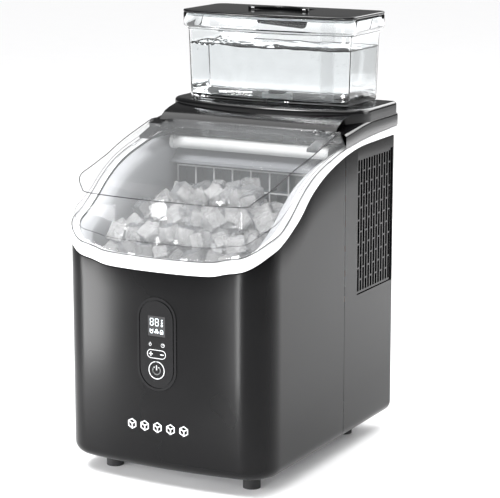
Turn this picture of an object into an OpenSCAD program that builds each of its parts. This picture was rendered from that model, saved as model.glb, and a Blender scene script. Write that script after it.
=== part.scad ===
// Counter-top ice maker with a lift-off water tank.
// Frame: X to the right, Y to the back, Z up; origin on the floor, under the middle of the machine.
// The pieces are drawn about the middle of the lower casing, and placed() shifts them all.

/* [Casing] */
// Width of the casing
body_w = 235; // [200:1:285]
// Depth of the casing
body_d = 312; // [280:1:370]
// How far the front face bows forward
front_bow = 11; // [6:0.5:15]
// Radius of the upright front corners
corner_r = 34; // [28:1:42]
// Radius of the upright rear corners
rear_r = 8; // [6:1:9]
// How far the top of the casing overhangs the back
rear_over = 7; // [4:0.5:9]
// Radius along the lower edge
bottom_r = 12; // [8:1:16]
// Wall of the plastic shells
shell_t = 3; // [2:0.1:4]
// Gap between the shells and the floor
foot_gap = 18; // [14:1:26]
// Where the side seam between front and rear shell lies, along Y
seam_y = 30; // [26:1:36]

/* [Belt] */
// Height of the belt's lower edge at the front
belt_front_z = 222; // [200:1:240]
// Height of the belt's lower edge at the back
belt_rear_z = 328; // [318:1:350]
// Height of the belt band at the front
belt_front_h = 13.5; // [10:0.5:18]
// Height of the belt band at the back
belt_rear_h = 9.5; // [7:0.5:12]
// How far the belt stands proud of the shells
belt_proud = 0.8; // [0.4:0.1:1.6]

/* [Lid] */
// Thickness of the clear lid
lid_t = 3; // [2:0.1:4]
// Height of the lid's front wall top above the belt
lid_wall_h = 59.5; // [45:0.5:75]
// How far the lid's dome is set in above its skirt
lid_step = 8.5; // [5:0.5:9]
// Height of the lid's skirt above the belt
skirt_h = 14; // [9:0.5:18]
// Height of the hinge line above the rear belt edge
lid_rise = 9; // [8:0.5:14]
// Air gap under the lid's edge
lid_gap = 1.2; // [0.8:0.1:2]
// Radius of the hinge pins
pin_r = 2.5; // [2:0.1:3]
// Distance of each hinge arm from the middle
hinge_x = 99; // [70:1:99]
// Width of each hinge arm
arm_w = 12; // [8:1:14]

/* [Ice chamber] */
// Gap from the casing's outer face to the inside of the tub
tub_inset = 22; // [20:0.5:26]
// Wall of the tub
tub_t = 2.5; // [2:0.1:3.5]
// Height of the tub's floor
tub_floor_z = 60; // [50:1:70]
// Back face of the chamber, along Y
tub_back_y = 66; // [64:1:72]
// Height of the basket's underside
basket_z = 98; // [90:1:110]
// Height of the basket
basket_h = 134; // [100:1:140]
// Wall of the basket
basket_t = 2; // [1.6:0.1:3]
// Pitch of the freezing cells
cell_p = 22.4; // [19:0.1:22.4]
// Number of cells across
cells_x = 8; // [6:1:8]
// Number of cells up
cells_z = 3; // [2:1:3]
// Depth of the cells
cell_d = 16; // [12:1:16]
// Wall between the cells
cell_t = 1.4; // [1:0.1:2]
// Top edge of the cell grid
grid_top_z = 295; // [285:1:298]

/* [Water tank] */
// Width of the tank
tank_w = 193; // [170:1:200]
// Front of the tank at its middle, along Y
tank_front_y = 70.5; // [66:0.5:76]
// Back of the tank, along Y
tank_back_y = 154.5; // [144:0.5:155]
// Bow of the tank's front
tank_bow = 9; // [5:0.5:12]
// Radius of the tank's upright corners
tank_corner_r = 5; // [4:0.5:12]
// Height of the tank with its rim
tank_h = 92.5; // [80:0.5:110]
// Wall of the tank
tank_t = 2.5; // [2:0.1:3.5]
// How far the rim flares out
rim_out = 7; // [5:0.5:8]
// Height of the flared rim
rim_h = 17; // [14:1:20]
// Radius of the standpipe
standpipe_r = 7.7; // [6:0.1:8.5]
// Thickness of the tank lid
tank_lid_t = 3.2; // [3:0.1:6]
// Height of the platform's top above the hinge line
platform_rise = 17; // [14:1:20]

/* [Controls] */
// Height of the control panel's middle
panel_z = 150; // [140:1:155]
// Width of the control panel
panel_w = 45; // [42:1:52]
// Height of the control panel
panel_h = 96; // [94:1:110]
// Radius of the power key
power_r = 9.5; // [8:0.1:9.6]
// Travel of the power key
key_travel = 0.8; // [0.4:0.1:1]
// Length of the plus and minus key
rocker_w = 22; // [18:1:26]
// Height of the plus and minus key
rocker_h = 9.5; // [8:0.1:9.6]
// Running clearance round the keys
key_clear = 0.3; // [0.2:0.05:0.4]

/* [Machinery] */
// Radius of the compressor
comp_r = 38; // [32:1:40]
// Height of the compressor's can
comp_h = 84; // [70:1:100]
// Radius of the fan
fan_r = 34.5; // [28:0.5:35]
// Number of fan blades
blades = 7; // [5:1:9]
// Radius of the refrigerant pipes
pipe_r = 3; // [2:0.1:3.2]
// Outer radius of the water hoses
hose_r = 7; // [6.6:0.1:7.4]
// Radius of the bore in the cord gland
cord_bore_r = 3.6; // [3:0.1:4.2]

/* [Hidden] */
$fn = 64;
eps = 0.01;
fit_gap = 0.3;        // gap between neighbouring pieces that don't touch
run_gap = 0.05;       // radial running clearance of pins and shafts
front_y = -body_d/2;
back_y = body_d/2;

// ---- smooth outlines -------------------------------------------------------------------
function blend(a, b, c, d, t) = 0.5*(2*b + (c - a)*t + (2*a - 5*b + 4*c - d)*t*t
    + (3*b - a - 3*c + d)*t*t*t);
function smooth(p, n) = concat([for (i = [0:len(p)-2]) for (k = [0:n-1])
    blend(p[max(i-1, 0)], p[i], p[i+1], p[min(i+2, len(p)-1)], k/n)], [p[len(p)-1]]);
function raised(p, dz) = [for (q = p) [q[0], q[1] + dz]];
function reversed(p) = [for (i = [len(p)-1:-1:0]) p[i]];

// The belt's two edges: [share of the depth, share of the rise], from front to back
belt_low = [[-0.02, 0], [0.007, 0.01], [0.017, 0.06], [0.045, 0.145], [0.083, 0.225],
    [0.147, 0.302], [0.186, 0.354], [0.263, 0.481], [0.333, 0.642], [0.404, 0.755],
    [0.478, 0.84], [0.59, 0.929], [0.705, 0.981], [0.853, 0.995], [1.06, 1]];
belt_high = [[-0.02, 0], [0.007, 0.01], [0.017, 0.06], [0.045, 0.152], [0.083, 0.232],
    [0.147, 0.309], [0.208, 0.426], [0.276, 0.583], [0.346, 0.706], [0.42, 0.789],
    [0.494, 0.844], [0.567, 0.892], [0.644, 0.926], [0.801, 0.969], [1.06, 1]];
high_front_z = belt_front_z + belt_front_h;
high_rear_z = belt_rear_z + belt_rear_h;
low_line = smooth([for (q = belt_low)
    [front_y + q[0]*body_d, belt_front_z + q[1]*(belt_rear_z - belt_front_z)]], 2);
high_line = smooth([for (q = belt_high)
    [front_y + q[0]*body_d, high_front_z + q[1]*(high_rear_z - high_front_z)]], 2);
function high_z(y) = lookup(y, high_line);

// The lid's top: front wall top, brow, then a gentle rise to the hinge
hinge_y = seam_y - 8;
lid_rear_z = high_rear_z + lid_rise;
hinge_z = lid_rear_z - 5.3;
lid_front_z = high_front_z + lid_wall_h;
lid_top = [[-0.03, -0.03], [0.048, 0], [0.075, 0.08], [0.146, 0.175], [0.303, 0.272],
    [0.421, 0.379], [0.567, 0.534], [0.708, 0.689], [0.848, 0.845], [0.944, 0.951], [1, 1],
    [1.05, 1.01]];
lid_line = smooth([for (q = lid_top) [front_y + q[0]*(hinge_y - front_y),
    lid_front_z + q[1]*(lid_rear_z - lid_front_z)]], 2);
function lid_z(y) = lookup(y, lid_line);

platform_z = hinge_z + 5.3 + platform_rise;
tank_z = platform_z + fit_gap;
tank_top_z = tank_z + tank_h;
lid_top_z = tank_top_z + 0.2 + tank_lid_t;
cover_y = seam_y + 0.5;

// ---- helpers ---------------------------------------------------------------------------
// A plan outline with a bowed front, moved inwards by inset
module bowed(w, yf, yb, bow, rf, rb, inset = 0) {
    front = max(rf, inset + 0.5);
    rear = max(rb, inset + 0.5);
    big = (pow(w/2, 2) + bow*bow)/(2*bow);
    cy = yf + big;
    cx = w/2 - front;
    yc = cy - sqrt(pow(big - front, 2) - cx*cx);
    half = w/2 - inset;
    tx = cx*(big - inset)/(big - front);
    translate([-half, yc]) square([2*half, yb - rear - yc]);
    translate([-(w/2 - rear), yc]) square([w - 2*rear, yb - inset - yc]);
    for (s = [-1, 1]) {
        translate([s*(w/2 - rear), yb - rear]) circle(rear - inset);
        translate([s*cx, yc]) circle(front - inset);
    }
    intersection() {
        translate([0, cy]) circle(big - inset, $fn = 720);
        translate([-tx, yf - 5]) square([2*tx, yc - yf + 5 + eps]);
    }
}
// The same outline as a list of points, for the smaller bowed pieces
function arc(cx, cy, r, a0, a1, n) = [for (i = [0:n]) let(a = a0 + (a1 - a0)*i/n)
    [cx + r*cos(a), cy + r*sin(a)]];
function turn_step(turn) = (180 - 2*turn)/14;
function bowed_points(w, yf, yb, bow, rf, rb, inset) = let(
    big = (pow(w/2, 2) + bow*bow)/(2*bow), cy = yf + big, cx = w/2 - rf,
    yc = cy - sqrt(pow(big - rf, 2) - cx*cx), turn = acos(cx/(big - rf)))
    concat(arc(cx, yc, rf - inset, -turn, 0, 6),
        arc(w/2 - rb, yb - rb, rb - inset, 0, 90, 6),
        arc(-w/2 + rb, yb - rb, rb - inset, 90, 180, 6),
        arc(-cx, yc, rf - inset, 180, 180 + turn, 6),
        arc(0, cy, big - inset, 180 + turn + turn_step(turn), 360 - turn - turn_step(turn), 12));
module plan(inset = 0) bowed(body_w, front_y, back_y, front_bow, corner_r, rear_r, inset);
module upper_column(inset, z0, z1) translate([0, 0, z0]) linear_extrude(z1 - z0)
    bowed(body_w, front_y, back_y + rear_over, front_bow, corner_r, 5, inset);
module column(inset, z0, z1) translate([0, 0, z0]) linear_extrude(z1 - z0) plan(inset);
module prism(w = 2*body_w) rotate([90, 0, 90]) linear_extrude(w, center = true) children();
module box(lo, hi) translate(lo) cube(hi - lo);
module rod_x(x0, x1, r) translate([x0, 0, 0]) rotate([0, 90, 0]) cylinder(x1 - x0, r, r);
module rod_y(y0, y1, r) translate([0, y0, 0]) rotate([-90, 0, 0]) cylinder(y1 - y0, r, r);
module rod_z(z0, z1, r) translate([0, 0, z0]) cylinder(z1 - z0, r, r);
module ring_y(y0, y1, ro, ri) difference() {
    rod_y(y0, y1, ro);
    rod_y(y0 - 1, y1 + 1, ri);
}
// A quarter bend from +Z into +Y: starts at the origin going up, ends going back
module elbow(bend, ro, ri) translate([0, bend, 0]) rotate([90, 0, 90]) rotate([0, 0, 90])
    rotate_extrude(angle = 90) translate([bend, 0]) difference() {
        circle(ro);
        circle(ri);
    }
// A bent tube swept along a path; side is a direction that the path never follows
function unit(v) = v/norm(v);
function swept(path, r, side, n) = [for (i = [0:len(path)-1]) let(
    t = unit(path[min(i+1, len(path)-1)] - path[max(i-1, 0)]),
    u = unit(cross(t, side)), v = cross(t, u))
    for (k = [0:n-1]) path[i] + r*cos(360*k/n)*u + r*sin(360*k/n)*v];
module bent_tube(points, r, side, n = 8) {
    path = smooth(points, 5);
    rings = len(path);
    faces = concat(
        [[for (k = [0:n-1]) k]],
        [for (i = [0:rings-2]) for (k = [0:n-1]) let(a = i*n + k, b = i*n + (k+1) % n)
            [b, a, a + n, b + n]],
        [[for (k = [n-1:-1:0]) (rings-1)*n + k]]);
    polyhedron(swept(path, r, side, n), faces);
}
// The region of a side profile between two lines along the casing
module band(low, high) prism() polygon(concat(low, reversed(high)));
module below(line) prism() polygon(concat(line, [[back_y + 20, line[len(line)-1][1]],
    [back_y + 20, 0], [front_y - 9, 0]]));

// ---- casing ----------------------------------------------------------------------------
module round_foot_block(inset) {
    z0 = foot_gap + inset;
    r = bottom_r - inset;
    half = body_w/2 - inset;
    top = belt_rear_z + 40;
    module profile(lo, hi) {
        translate([lo, z0 + r]) square([hi - lo, top - z0 - r]);
        translate([lo + r, z0]) square([hi - lo - 2*r, 2*r]);
        for (a = [lo + r, hi - r]) translate([a, z0 + r]) circle(r);
    }
    intersection() {
        column(inset, z0, top);
        prism() profile(front_y + inset, back_y - inset);
        rotate([90, 0, 0]) linear_extrude(2*body_d, center = true) profile(-half, half);
    }
}
module casing() difference() {
    intersection() {
        round_foot_block(0);
        below(low_line);
    }
    round_foot_block(shell_t);
    column(bottom_r + 2, foot_gap - 1, foot_gap + shell_t + 1);
}
panel_front_y = front_y - 0.4;
module pill(w, h) {
    square([w, h - w], center = true);
    for (s = [-1, 1]) translate([0, s*(h - w)/2]) circle(w/2);
}
module along_front(y0, y1) translate([0, y1, 0]) rotate([90, 0, 0]) linear_extrude(y1 - y0)
    children();
module front_shell() color("#1c1c1e") difference() {
    intersection() {
        casing();
        box([-body_w, -body_d, 0], [body_w, seam_y - fit_gap, 500]);
    }
    along_front(front_y - 5, front_y + 8) translate([0, panel_z])
        pill(panel_w + 2*fit_gap, panel_h + 2*fit_gap);
}
grille_y0 = 59.5;
grille_y1 = back_y - rear_r - 0.5;
grille_z0 = 168.5;
grille_z1 = 315;
drain_x = 30;
drain_z = 72;
gland_x = -80;
gland_z = 50;
screw_x = body_w/2 - rear_r - 8;
module rear_shell() color("#1c1c1e") difference() {
    intersection() {
        casing();
        box([-body_w, seam_y + fit_gap, 0], [body_w, body_d, 500]);
    }
    for (s = [-1, 1]) translate([s*body_w/2, 0, 0])
        box([-20, grille_y0, grille_z0], [20, grille_y1, grille_z1]);
    translate([drain_x, 0, drain_z]) rod_y(back_y - 20, back_y + 5, 11);
    translate([gland_x, 0, gland_z]) rod_y(back_y - 20, back_y + 5, 8.2);
    for (s = [-1, 1]) for (z = [foot_gap + 24, belt_rear_z - 24])
        translate([s*screw_x, 0, z]) rod_y(back_y - 20, back_y + 5, 1.6);
}
belt_in = 7.9;
module white_belt() color("white") difference() {
    intersection() {
        upper_column(-belt_proud, 100, 500);
        band(raised(low_line, fit_gap), high_line);
    }
    column(belt_in, 90, 510);
}
pan_z = foot_gap + 0.5;
pan_top = foot_gap + shell_t + fit_gap + 2;
foot_x = 81;
foot_y = 107;
module at_feet() for (sx = [-1, 1]) for (sy = [-1, 1])
    translate([sx*foot_x, sy*foot_y, 0]) children();
module base_pan() color("silver") difference() {
    union() {
        column(bottom_r + 2.4, pan_z, pan_top);
        column(bottom_r - 1.5, foot_gap + shell_t + fit_gap, pan_top);
    }
    at_feet() rod_z(0, 40, 2.1);
}
foot_r = 9;
module feet() color("#222222") at_feet() difference() {
    rod_z(0, pan_z, foot_r);
    rod_z(-1, 40, 2.1);
    rod_z(-1, 6, 4.6);
}
module foot_screws() color("silver") at_feet() {
    rod_z(2.6, 5.9, 4.2);
    rod_z(5.8, pan_top + 4, 2);
}
module grille(s) color("#1c1c1e") {
    x0 = body_w/2 - shell_t - 2.7;
    pitch = 6.4;
    bar = 25.8;
    slot_w = 4.2;
    n = floor((grille_y1 - grille_y0 - 4)/pitch);
    start = (grille_y0 + grille_y1)/2 - n*pitch/2;
    mirror([s < 0 ? 1 : 0, 0, 0]) difference() {
        union() {
            box([x0, grille_y0 - 2.5, grille_z0 - 3], [x0 + 2.4, grille_y1 + 0.5,
                grille_z1 + 3]);
            box([x0, grille_y0 + fit_gap, grille_z0 + fit_gap],
                [body_w/2 - 1.4, grille_y1 - fit_gap, grille_z1 - fit_gap]);
        }
        for (i = [0:n-1]) for (k = [-1:5]) {
            z0 = grille_z0 + k*bar + (i % 2)*bar/2 + 3;
            lo = max(z0, grille_z0 + 3);
            hi = min(z0 + bar - 1.8, grille_z1 - 3);
            if (hi - lo > 3) box([x0 - 1, start + i*pitch + (pitch - slot_w)/2, lo],
                [body_w/2 + 1, start + i*pitch + (pitch + slot_w)/2, hi]);
        }
    }
}
module grille_right() grille(1);
module grille_left() grille(-1);

// ---- rear cover with the tank's platform -------------------------------------------------
tank_mid_y = 114;
plinth_w = body_w - 1;
plinth_front_y = 50;
plinth_bow = 22;
socket_r = 16.7;
module plinth(inset, z0, z1) translate([0, 0, z0]) linear_extrude(z1 - z0)
    polygon(bowed_points(plinth_w, plinth_front_y, back_y + rear_over - 2, plinth_bow, 28, 6,
        inset));
module cover_side() {
    top = [[cover_y - 2, lid_rear_z - 3.2], [cover_y + 16, lid_rear_z - 1.2],
        [cover_y + 40, lid_rear_z + 2.4], [cover_y + 64, lid_rear_z + 4.6],
        [back_y + 12, lid_rear_z + 4.8]];
    shoulder = smooth(top, 2);
    prism() polygon(concat(shoulder, [[back_y + 12, 200], [cover_y - 2, 200]]));
}
module ramp() prism(plinth_w - 24) polygon([[cover_y, lid_rear_z - 6],
    [cover_y, lid_rear_z - 1], [cover_y + 5, lid_rear_z + 3.5],
    [cover_y + 20, lid_rear_z + 9.5], [cover_y + 45, lid_rear_z + 13],
    [cover_y + 45, lid_rear_z - 6]]);
module ears() for (s = [-1, 1]) for (d = [-1, 1]) {
    x = s*hinge_x + d*(arm_w/2 + 3);
    translate([x - 2.4, hinge_y, hinge_z]) rod_x(0, 4.8, 5.2);
    box([x - 2.4, hinge_y, hinge_z - 5.2], [x + 2.4, cover_y + 1, hinge_z + 5.2]);
}
module rear_cover() color("#141414") difference() {
    union() {
        intersection() {
            upper_column(0, 200, 500);
            box([-body_w, cover_y, 0], [body_w, body_d, 500]);
            cover_side();
        }
        intersection() {
            union() {
                plinth(0, lid_rear_z - 4, platform_z);
                ramp();
            }
            upper_column(0.2, 200, 500);
            box([-body_w, cover_y, lid_rear_z - 6], [body_w, body_d, 500]);
        }
        ears();
    }
    below(raised(high_line, fit_gap));
    intersection() {
        upper_column(shell_t, 190, lid_rear_z - 3.4);
        box([-body_w, cover_y + shell_t, 0], [body_w, body_d, 500]);
    }
    plinth(shell_t, lid_rear_z - 10, platform_z - shell_t);
    box([-body_w/2 + tub_inset, cover_y - 9, 200],
        [body_w/2 - tub_inset, cover_y + shell_t + 1, lid_rear_z - 11.5]);
    translate([0, tank_mid_y, 0]) rod_z(300, 500, socket_r + fit_gap);
    for (s = [-1, 1]) translate([s*hinge_x, hinge_y, hinge_z])
        rod_x(-arm_w/2 - 7, arm_w/2 + 7, pin_r + 0.02);
}
module hinge_pins() color("silver") for (s = [-1, 1]) translate([s*hinge_x, hinge_y, hinge_z])
    rod_x(-arm_w/2 - 5, arm_w/2 + 5, pin_r);

// ---- clear lid -----------------------------------------------------------------------------
module lid_solid(inset, drop) intersection() {
    union() {
        column(lid_step + inset, 150, 500);
        intersection() {
            column(inset, 150, 500);
            below(raised(high_line, skirt_h - drop));
        }
    }
    below(raised(lid_line, -drop));
    box([-body_w, -body_d, 0], [body_w, cover_y - 0.7, 500]);
}
module arm_profile(grow) {
    y_in = hinge_y - 12;
    polygon([[hinge_y - 34, lid_z(hinge_y - 34) - lid_t - 0.3],
        [y_in - grow, lid_z(y_in) - lid_t - 0.3], [y_in - grow, lid_z(y_in) + grow],
        [hinge_y, hinge_z + 5.2 + grow], [hinge_y, hinge_z - 2],
        [y_in, hinge_z - 5], [hinge_y - 34, lid_z(hinge_y - 34) - lid_t - 3.3]]);
}
// What may lie behind the hinge line without meeting the cover or the belt as the lid turns
module swing_room() translate([0, hinge_y, hinge_z]) union() {
    intersection() {
        rod_x(-body_w, body_w, cover_y - hinge_y - 0.25);
        box([-body_w, 0, 0], [body_w, 40, 40]);
    }
    intersection() {
        rod_x(-body_w, body_w, hinge_z - high_z(hinge_y) - lid_gap - 0.4);
        box([-body_w, 0, -40], [body_w, 40, eps]);
    }
}
module lid_window() color([0.85, 0.9, 0.92, 0.35]) difference() {
    lid_solid(0, 0);
    lid_solid(lid_t, lid_t);
    below(raised(high_line, lid_gap));
    difference() {
        box([-body_w, hinge_y, 0], [body_w, body_d, 500]);
        swing_room();
    }
    for (s = [-1, 1]) translate([s*hinge_x - arm_w/2 - 0.3, 0, 0])
        box([0, hinge_y - 12.3, 300], [arm_w + 0.6, hinge_y + 20, 500]);
    for (s = [-1, 1]) translate([s*hinge_x - arm_w/2 - 6, 0, 0])
        box([0, hinge_y - 5.6, 300], [arm_w + 12, hinge_y + 20, 500]);
}
module lid_arms() color("#141414") for (s = [-1, 1]) translate([s*hinge_x, 0, 0]) difference() {
    union() {
        prism(arm_w) arm_profile(0);
        translate([0, hinge_y, hinge_z]) rod_x(-arm_w/2, arm_w/2, 5.2);
    }
    translate([0, hinge_y, hinge_z]) rod_x(-arm_w, arm_w, pin_r + run_gap);
}
module lid_pads() color([0.9, 0.9, 0.9]) intersection() {
    difference() {
        column(0.3, 150, 500);
        column(lid_t - 0.3, 140, 510);
    }
    band(raised(high_line, 0.1), raised(high_line, lid_gap - 0.02));
    union() {
        for (s = [-1, 1]) {
            box([s*85 - 4, -body_d, 0], [s*85 + 4, 0, 500]);
            box([s*30 - 4, -body_d, 0], [s*30 + 4, 0, 500]);
            for (y = [-104, -60, -8]) box([s*body_w/2 - 9, y, 0], [s*body_w/2 + 9, y + 7, 500]);
        }
    }
}

// ---- ice chamber ------------------------------------------------------------------------------
rim_low = 4.5;
sensor_y = -2;
sensor_z = 236;
pump_x = 42;
pump_y = 46;
outlet_z = 80;
hose_y = 82;
pour_y = 41;
pour_z = lid_rear_z - 26;
board_x = -55;
module tub_space(inset, z0) intersection() {
    column(inset, z0, 500);
    box([-body_w, -body_d, 0], [body_w, tub_back_y + tub_inset - inset, 500]);
}
module inner_tub() color("#d9dbdc") difference() {
    union() {
        intersection() {
            tub_space(tub_inset - tub_t, tub_floor_z);
            below(raised(high_line, -1.8));
        }
        intersection() {
            column(belt_in + fit_gap, 100, 500);
            box([-body_w, -body_d, 0], [body_w, cover_y + 2, 500]);
            band(raised(high_line, -rim_low), raised(high_line, -1.8));
        }
        for (x = [-1, 1]) for (z = [190, 280]) translate([board_x + x*28, 0, z])
            rod_y(tub_back_y + tub_t - 0.5, tub_back_y + tub_t + 4, 3);
    }
    difference() {
        tub_space(tub_inset, tub_floor_z + tub_t);
        for (s = [-1, 1]) box([s*(body_w/2 - tub_inset) - 4, -100, basket_z - 5],
            [s*(body_w/2 - tub_inset) + 4, 20, basket_z - fit_gap]);
    }
    for (s = [-1, 1]) translate([s*(body_w/2 - tub_inset), sensor_y, sensor_z])
        rod_x(-6, 6, 3.3);
    translate([pump_x, 0, outlet_z]) rod_y(tub_back_y - 5, tub_back_y + 9, 4.6);
    translate([pump_x, 0, pour_z]) rod_y(tub_back_y - 5, tub_back_y + 9, 4.6);
    translate([drain_x, 0, drain_z]) rod_y(tub_back_y - 5, tub_back_y + 9, 6.3);
    translate([9, 0, 160]) rod_y(tub_back_y - 5, tub_back_y + 9, hose_r + 0.2);
}
basket_back_y = 28;
module basket_space(inset, z0, z1) intersection() {
    column(tub_inset + 3 + inset, z0, z1);
    box([-body_w, -body_d, 0], [body_w, basket_back_y - inset, 500]);
}
module ice_basket() color([0.8, 0.83, 0.85, 0.8]) {
    top = basket_z + basket_h;
    difference() {
        union() {
            basket_space(0, basket_z, top);
            basket_space(-2.2, top - 3, top);
        }
        basket_space(basket_t, basket_z + basket_t, top + 1);
        for (x = [-72:18:72]) box([x - 3, -105, basket_z - 1], [x + 3, 12, basket_z + 3]);
    }
}
grid_y = 42;
grid_half = cells_x*cell_p/2;
module evaporator_grid() color("#e8ebee") difference() {
    box([-grid_half - 0.7, grid_y, grid_top_z - cells_z*cell_p - 0.7],
        [grid_half + 0.7, grid_y + cell_d + 1.5, grid_top_z + 0.7]);
    for (i = [0:cells_x-1]) for (k = [0:cells_z-1])
        translate([-grid_half + i*cell_p, grid_y, grid_top_z - (k+1)*cell_p])
            box([cell_t/2, -1, cell_t/2], [cell_p - cell_t/2, cell_d, cell_p - cell_t/2]);
}
coil_y = grid_y + cell_d + 1.5 + 2.7;
module evaporator_coil() color("#b87333") translate([0, coil_y, grid_top_z - cell_p/2]) {
    run = grid_half - 16;
    for (k = [0:cells_z-1]) translate([0, 0, -k*cell_p]) rod_x(-run, run, 2.4);
    for (k = [0:cells_z-2]) translate([(k % 2 == 0 ? 1 : -1)*run, 0, -(k + 0.5)*cell_p])
        rotate([90, 0, 0]) rotate([0, 0, k % 2 == 0 ? -90 : 90])
            rotate_extrude(angle = 180) translate([cell_p/2, 0]) circle(2.4);
}
spray_r = 6.8;
spray_half = body_w/2 - tub_inset - 2.5;
module water_distributor() color("white") {
    translate([0, pour_y, pour_z]) difference() {
        union() {
            rod_x(-spray_half, spray_half, spray_r);
            for (s = [-1, 1]) rod_x(s*spray_half - 2, s*spray_half + 2, spray_r + 1);
            translate([pump_x, 0, 0]) rod_y(0, hose_y - 12 - pour_y, 4);
        }
        rod_x(-spray_half, spray_half, spray_r - 1.6);
        translate([pump_x, 0, 0]) rod_y(0, 60, 2.6);
        for (i = [0:cells_x-1]) translate([-grid_half + (i + 0.5)*cell_p, 0, 0])
            rod_z(-20, 0, 1.2);
    }
}
module ice_guide() color("#9a9ea2") prism(2*(body_w/2 - tub_inset) - 0.6) polygon([
    [grid_y - 7, grid_top_z + 3.4], [grid_y - 3.6, grid_top_z + 3.4],
    [grid_y + 12, grid_top_z + 15.6], [grid_y + 12, grid_top_z + 17.8],
    [grid_y - 3.6, grid_top_z + 6.6], [grid_y - 7, grid_top_z + 6.6]]);
tub_in_z = tub_floor_z + tub_t;
module water_pump() color("#2a2d30") translate([pump_x, pump_y, 0]) {
    rod_z(tub_in_z + 0.2, tub_in_z + 24, 15);
    rod_z(tub_in_z + 23.9, tub_in_z + 29, 11);
    difference() {
        translate([0, 0, outlet_z]) rod_y(12, hose_y - 12 - pump_y, 4);
        translate([0, 0, outlet_z]) rod_y(16, 60, 2.6);
    }
}
module riser_hose() color([0.75, 0.8, 0.82]) translate([pump_x, 0, 0]) {
    bend = 10;
    ro = 6;
    ri = 4 + run_gap;
    y0 = tub_back_y + tub_t + 0.6;
    ring_z(hose_y, outlet_z + bend, pour_z - bend, ro, ri);
    translate([0, hose_y, outlet_z + bend]) mirror([0, 1, 0]) mirror([0, 0, 1]) elbow(bend, ro, ri);
    translate([0, hose_y, pour_z - bend]) mirror([0, 1, 0]) elbow(bend, ro, ri);
    for (z = [outlet_z, pour_z]) translate([0, 0, z]) ring_y(y0, hose_y - bend, ro, ri);
}
module ring_z(y, z0, z1, ro, ri) translate([0, y, 0]) difference() {
    rod_z(z0, z1, ro);
    rod_z(z0 - 1, z1 + 1, ri);
}
float_x = -60;
module float_stem() color("white") translate([float_x, pump_y, 0]) {
    rod_z(tub_in_z + 0.1, tub_in_z + 3, 6);
    rod_z(tub_in_z + 2.9, tub_in_z + 28, 2);
    rod_z(tub_in_z + 27.9, tub_in_z + 30, 4);
}
module level_float() color("#e7e2d2") translate([float_x, pump_y, 0]) difference() {
    rod_z(tub_in_z + 3.3, tub_in_z + 15, 9);
    rod_z(0, 200, 2 + run_gap);
}
module ice_full_sensors() color("#222222") for (s = [-1, 1])
    mirror([s < 0 ? 1 : 0, 0, 0]) translate([body_w/2 - tub_inset, sensor_y, sensor_z]) {
        rod_x(0.3, tub_t + 0.4, 3);
        box([tub_t + 0.3, -7, -6], [tub_t + 7, 7, 6]);
    }

// ---- machinery ----------------------------------------------------------------------------------
comp_x = -54;
comp_y = 108;
comp_z = pan_top + 12;
module at_comp_legs() for (a = [0, 120, 240]) rotate([0, 0, a]) translate([comp_r - 2, 0, 0]) children();
module compressor() color("#1b1b1b") translate([comp_x, comp_y, 0]) difference() {
    union() {
        translate([0, 0, comp_z]) rotate_extrude() {
            square([comp_r - 14, comp_h]);
            translate([0, 14]) square([comp_r, comp_h - 28]);
            for (z = [14, comp_h - 14]) translate([comp_r - 14, z]) intersection() {
                circle(14);
                translate([0, -20]) square([20, 40]);
            }
        }
        at_comp_legs() rod_z(comp_z - 2.5, comp_z + 3, 8);
        translate([0, 0, comp_z + comp_h - 1]) rod_z(0, 5, 10);
    }
    at_comp_legs() rod_z(0, comp_z + 3.1, 3);
}
module compressor_grommets() color("#333333") translate([comp_x, comp_y, 0]) at_comp_legs() {
    rod_z(pan_top, comp_z - 2.5, 6.5);
    rod_z(comp_z - 2.6, comp_z + 2.5, 2.9);
}
cond_x = 90;
cond_y0 = tub_back_y + 7;
cond_y1 = back_y - 12;
cond_z0 = 172;
tube_rows = 5;
row_p = 27;
function row_z(k) = cond_z0 + 15 + k*row_p;
module condenser_fins() color("#c9ccd0") {
    n = 16;
    for (i = [0:n-1]) translate([cond_x, cond_y0 + 4 + i*(cond_y1 - cond_y0 - 9)/(n-1) + 1, 0])
        rotate([90, 0, 0]) linear_extrude(1) difference() {
            translate([0, cond_z0]) square([16, tube_rows*row_p + 3]);
            for (k = [0:tube_rows-1]) translate([8, row_z(k)]) circle(4.03);
        }
}
module condenser_coil() color("#b87333") translate([cond_x + 8, 0, 0]) {
    a = cond_y0 + 2;
    for (k = [0:tube_rows-1]) translate([0, 0, row_z(k)]) rod_y(a, cond_y1 - 3, 4);
}
fan_y = 109;
fan_z = 241;
duct_r = fan_r + 1.8;
module fan_shroud() color("#2b2b2b") translate([0, fan_y, fan_z]) {
    difference() {
        union() {
            box([82, cond_y0 - fan_y, -68], [85, cond_y1 - fan_y, 68]);
            rod_x(60, 84, duct_r + 2);
        }
        rod_x(50, 90, duct_r);
    }
    difference() {
        union() {
            for (a = [0, 120, 240]) rotate([a, 0, 0]) box([57, -3, 15], [60.1, 3, duct_r + 2]);
            rod_x(50, 60.1, 18.5);
        }
        rod_x(40, 70, 16.2);
    }
}
module fan_motor() color("#8d9094") translate([0, fan_y, fan_z]) difference() {
    rod_x(40, 60, 16);
    rod_x(50, 70, 2.5 + run_gap);
}
module fan_rotor() color("#33373b") translate([0, fan_y, fan_z]) {
    rod_x(52, 66, 2.5);
    rod_x(64, 78, 11);
    for (i = [0:blades-1]) rotate([i*360/blades, 0, 0]) intersection() {
        translate([71, 0, 10]) rotate([0, 0, 35]) box([-0.9, -9, -1], [0.9, 9, fan_r - 10]);
        box([61, -20, 0], [81, 20, 60]);
        rod_x(60, 82, fan_r);
    }
}
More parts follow.
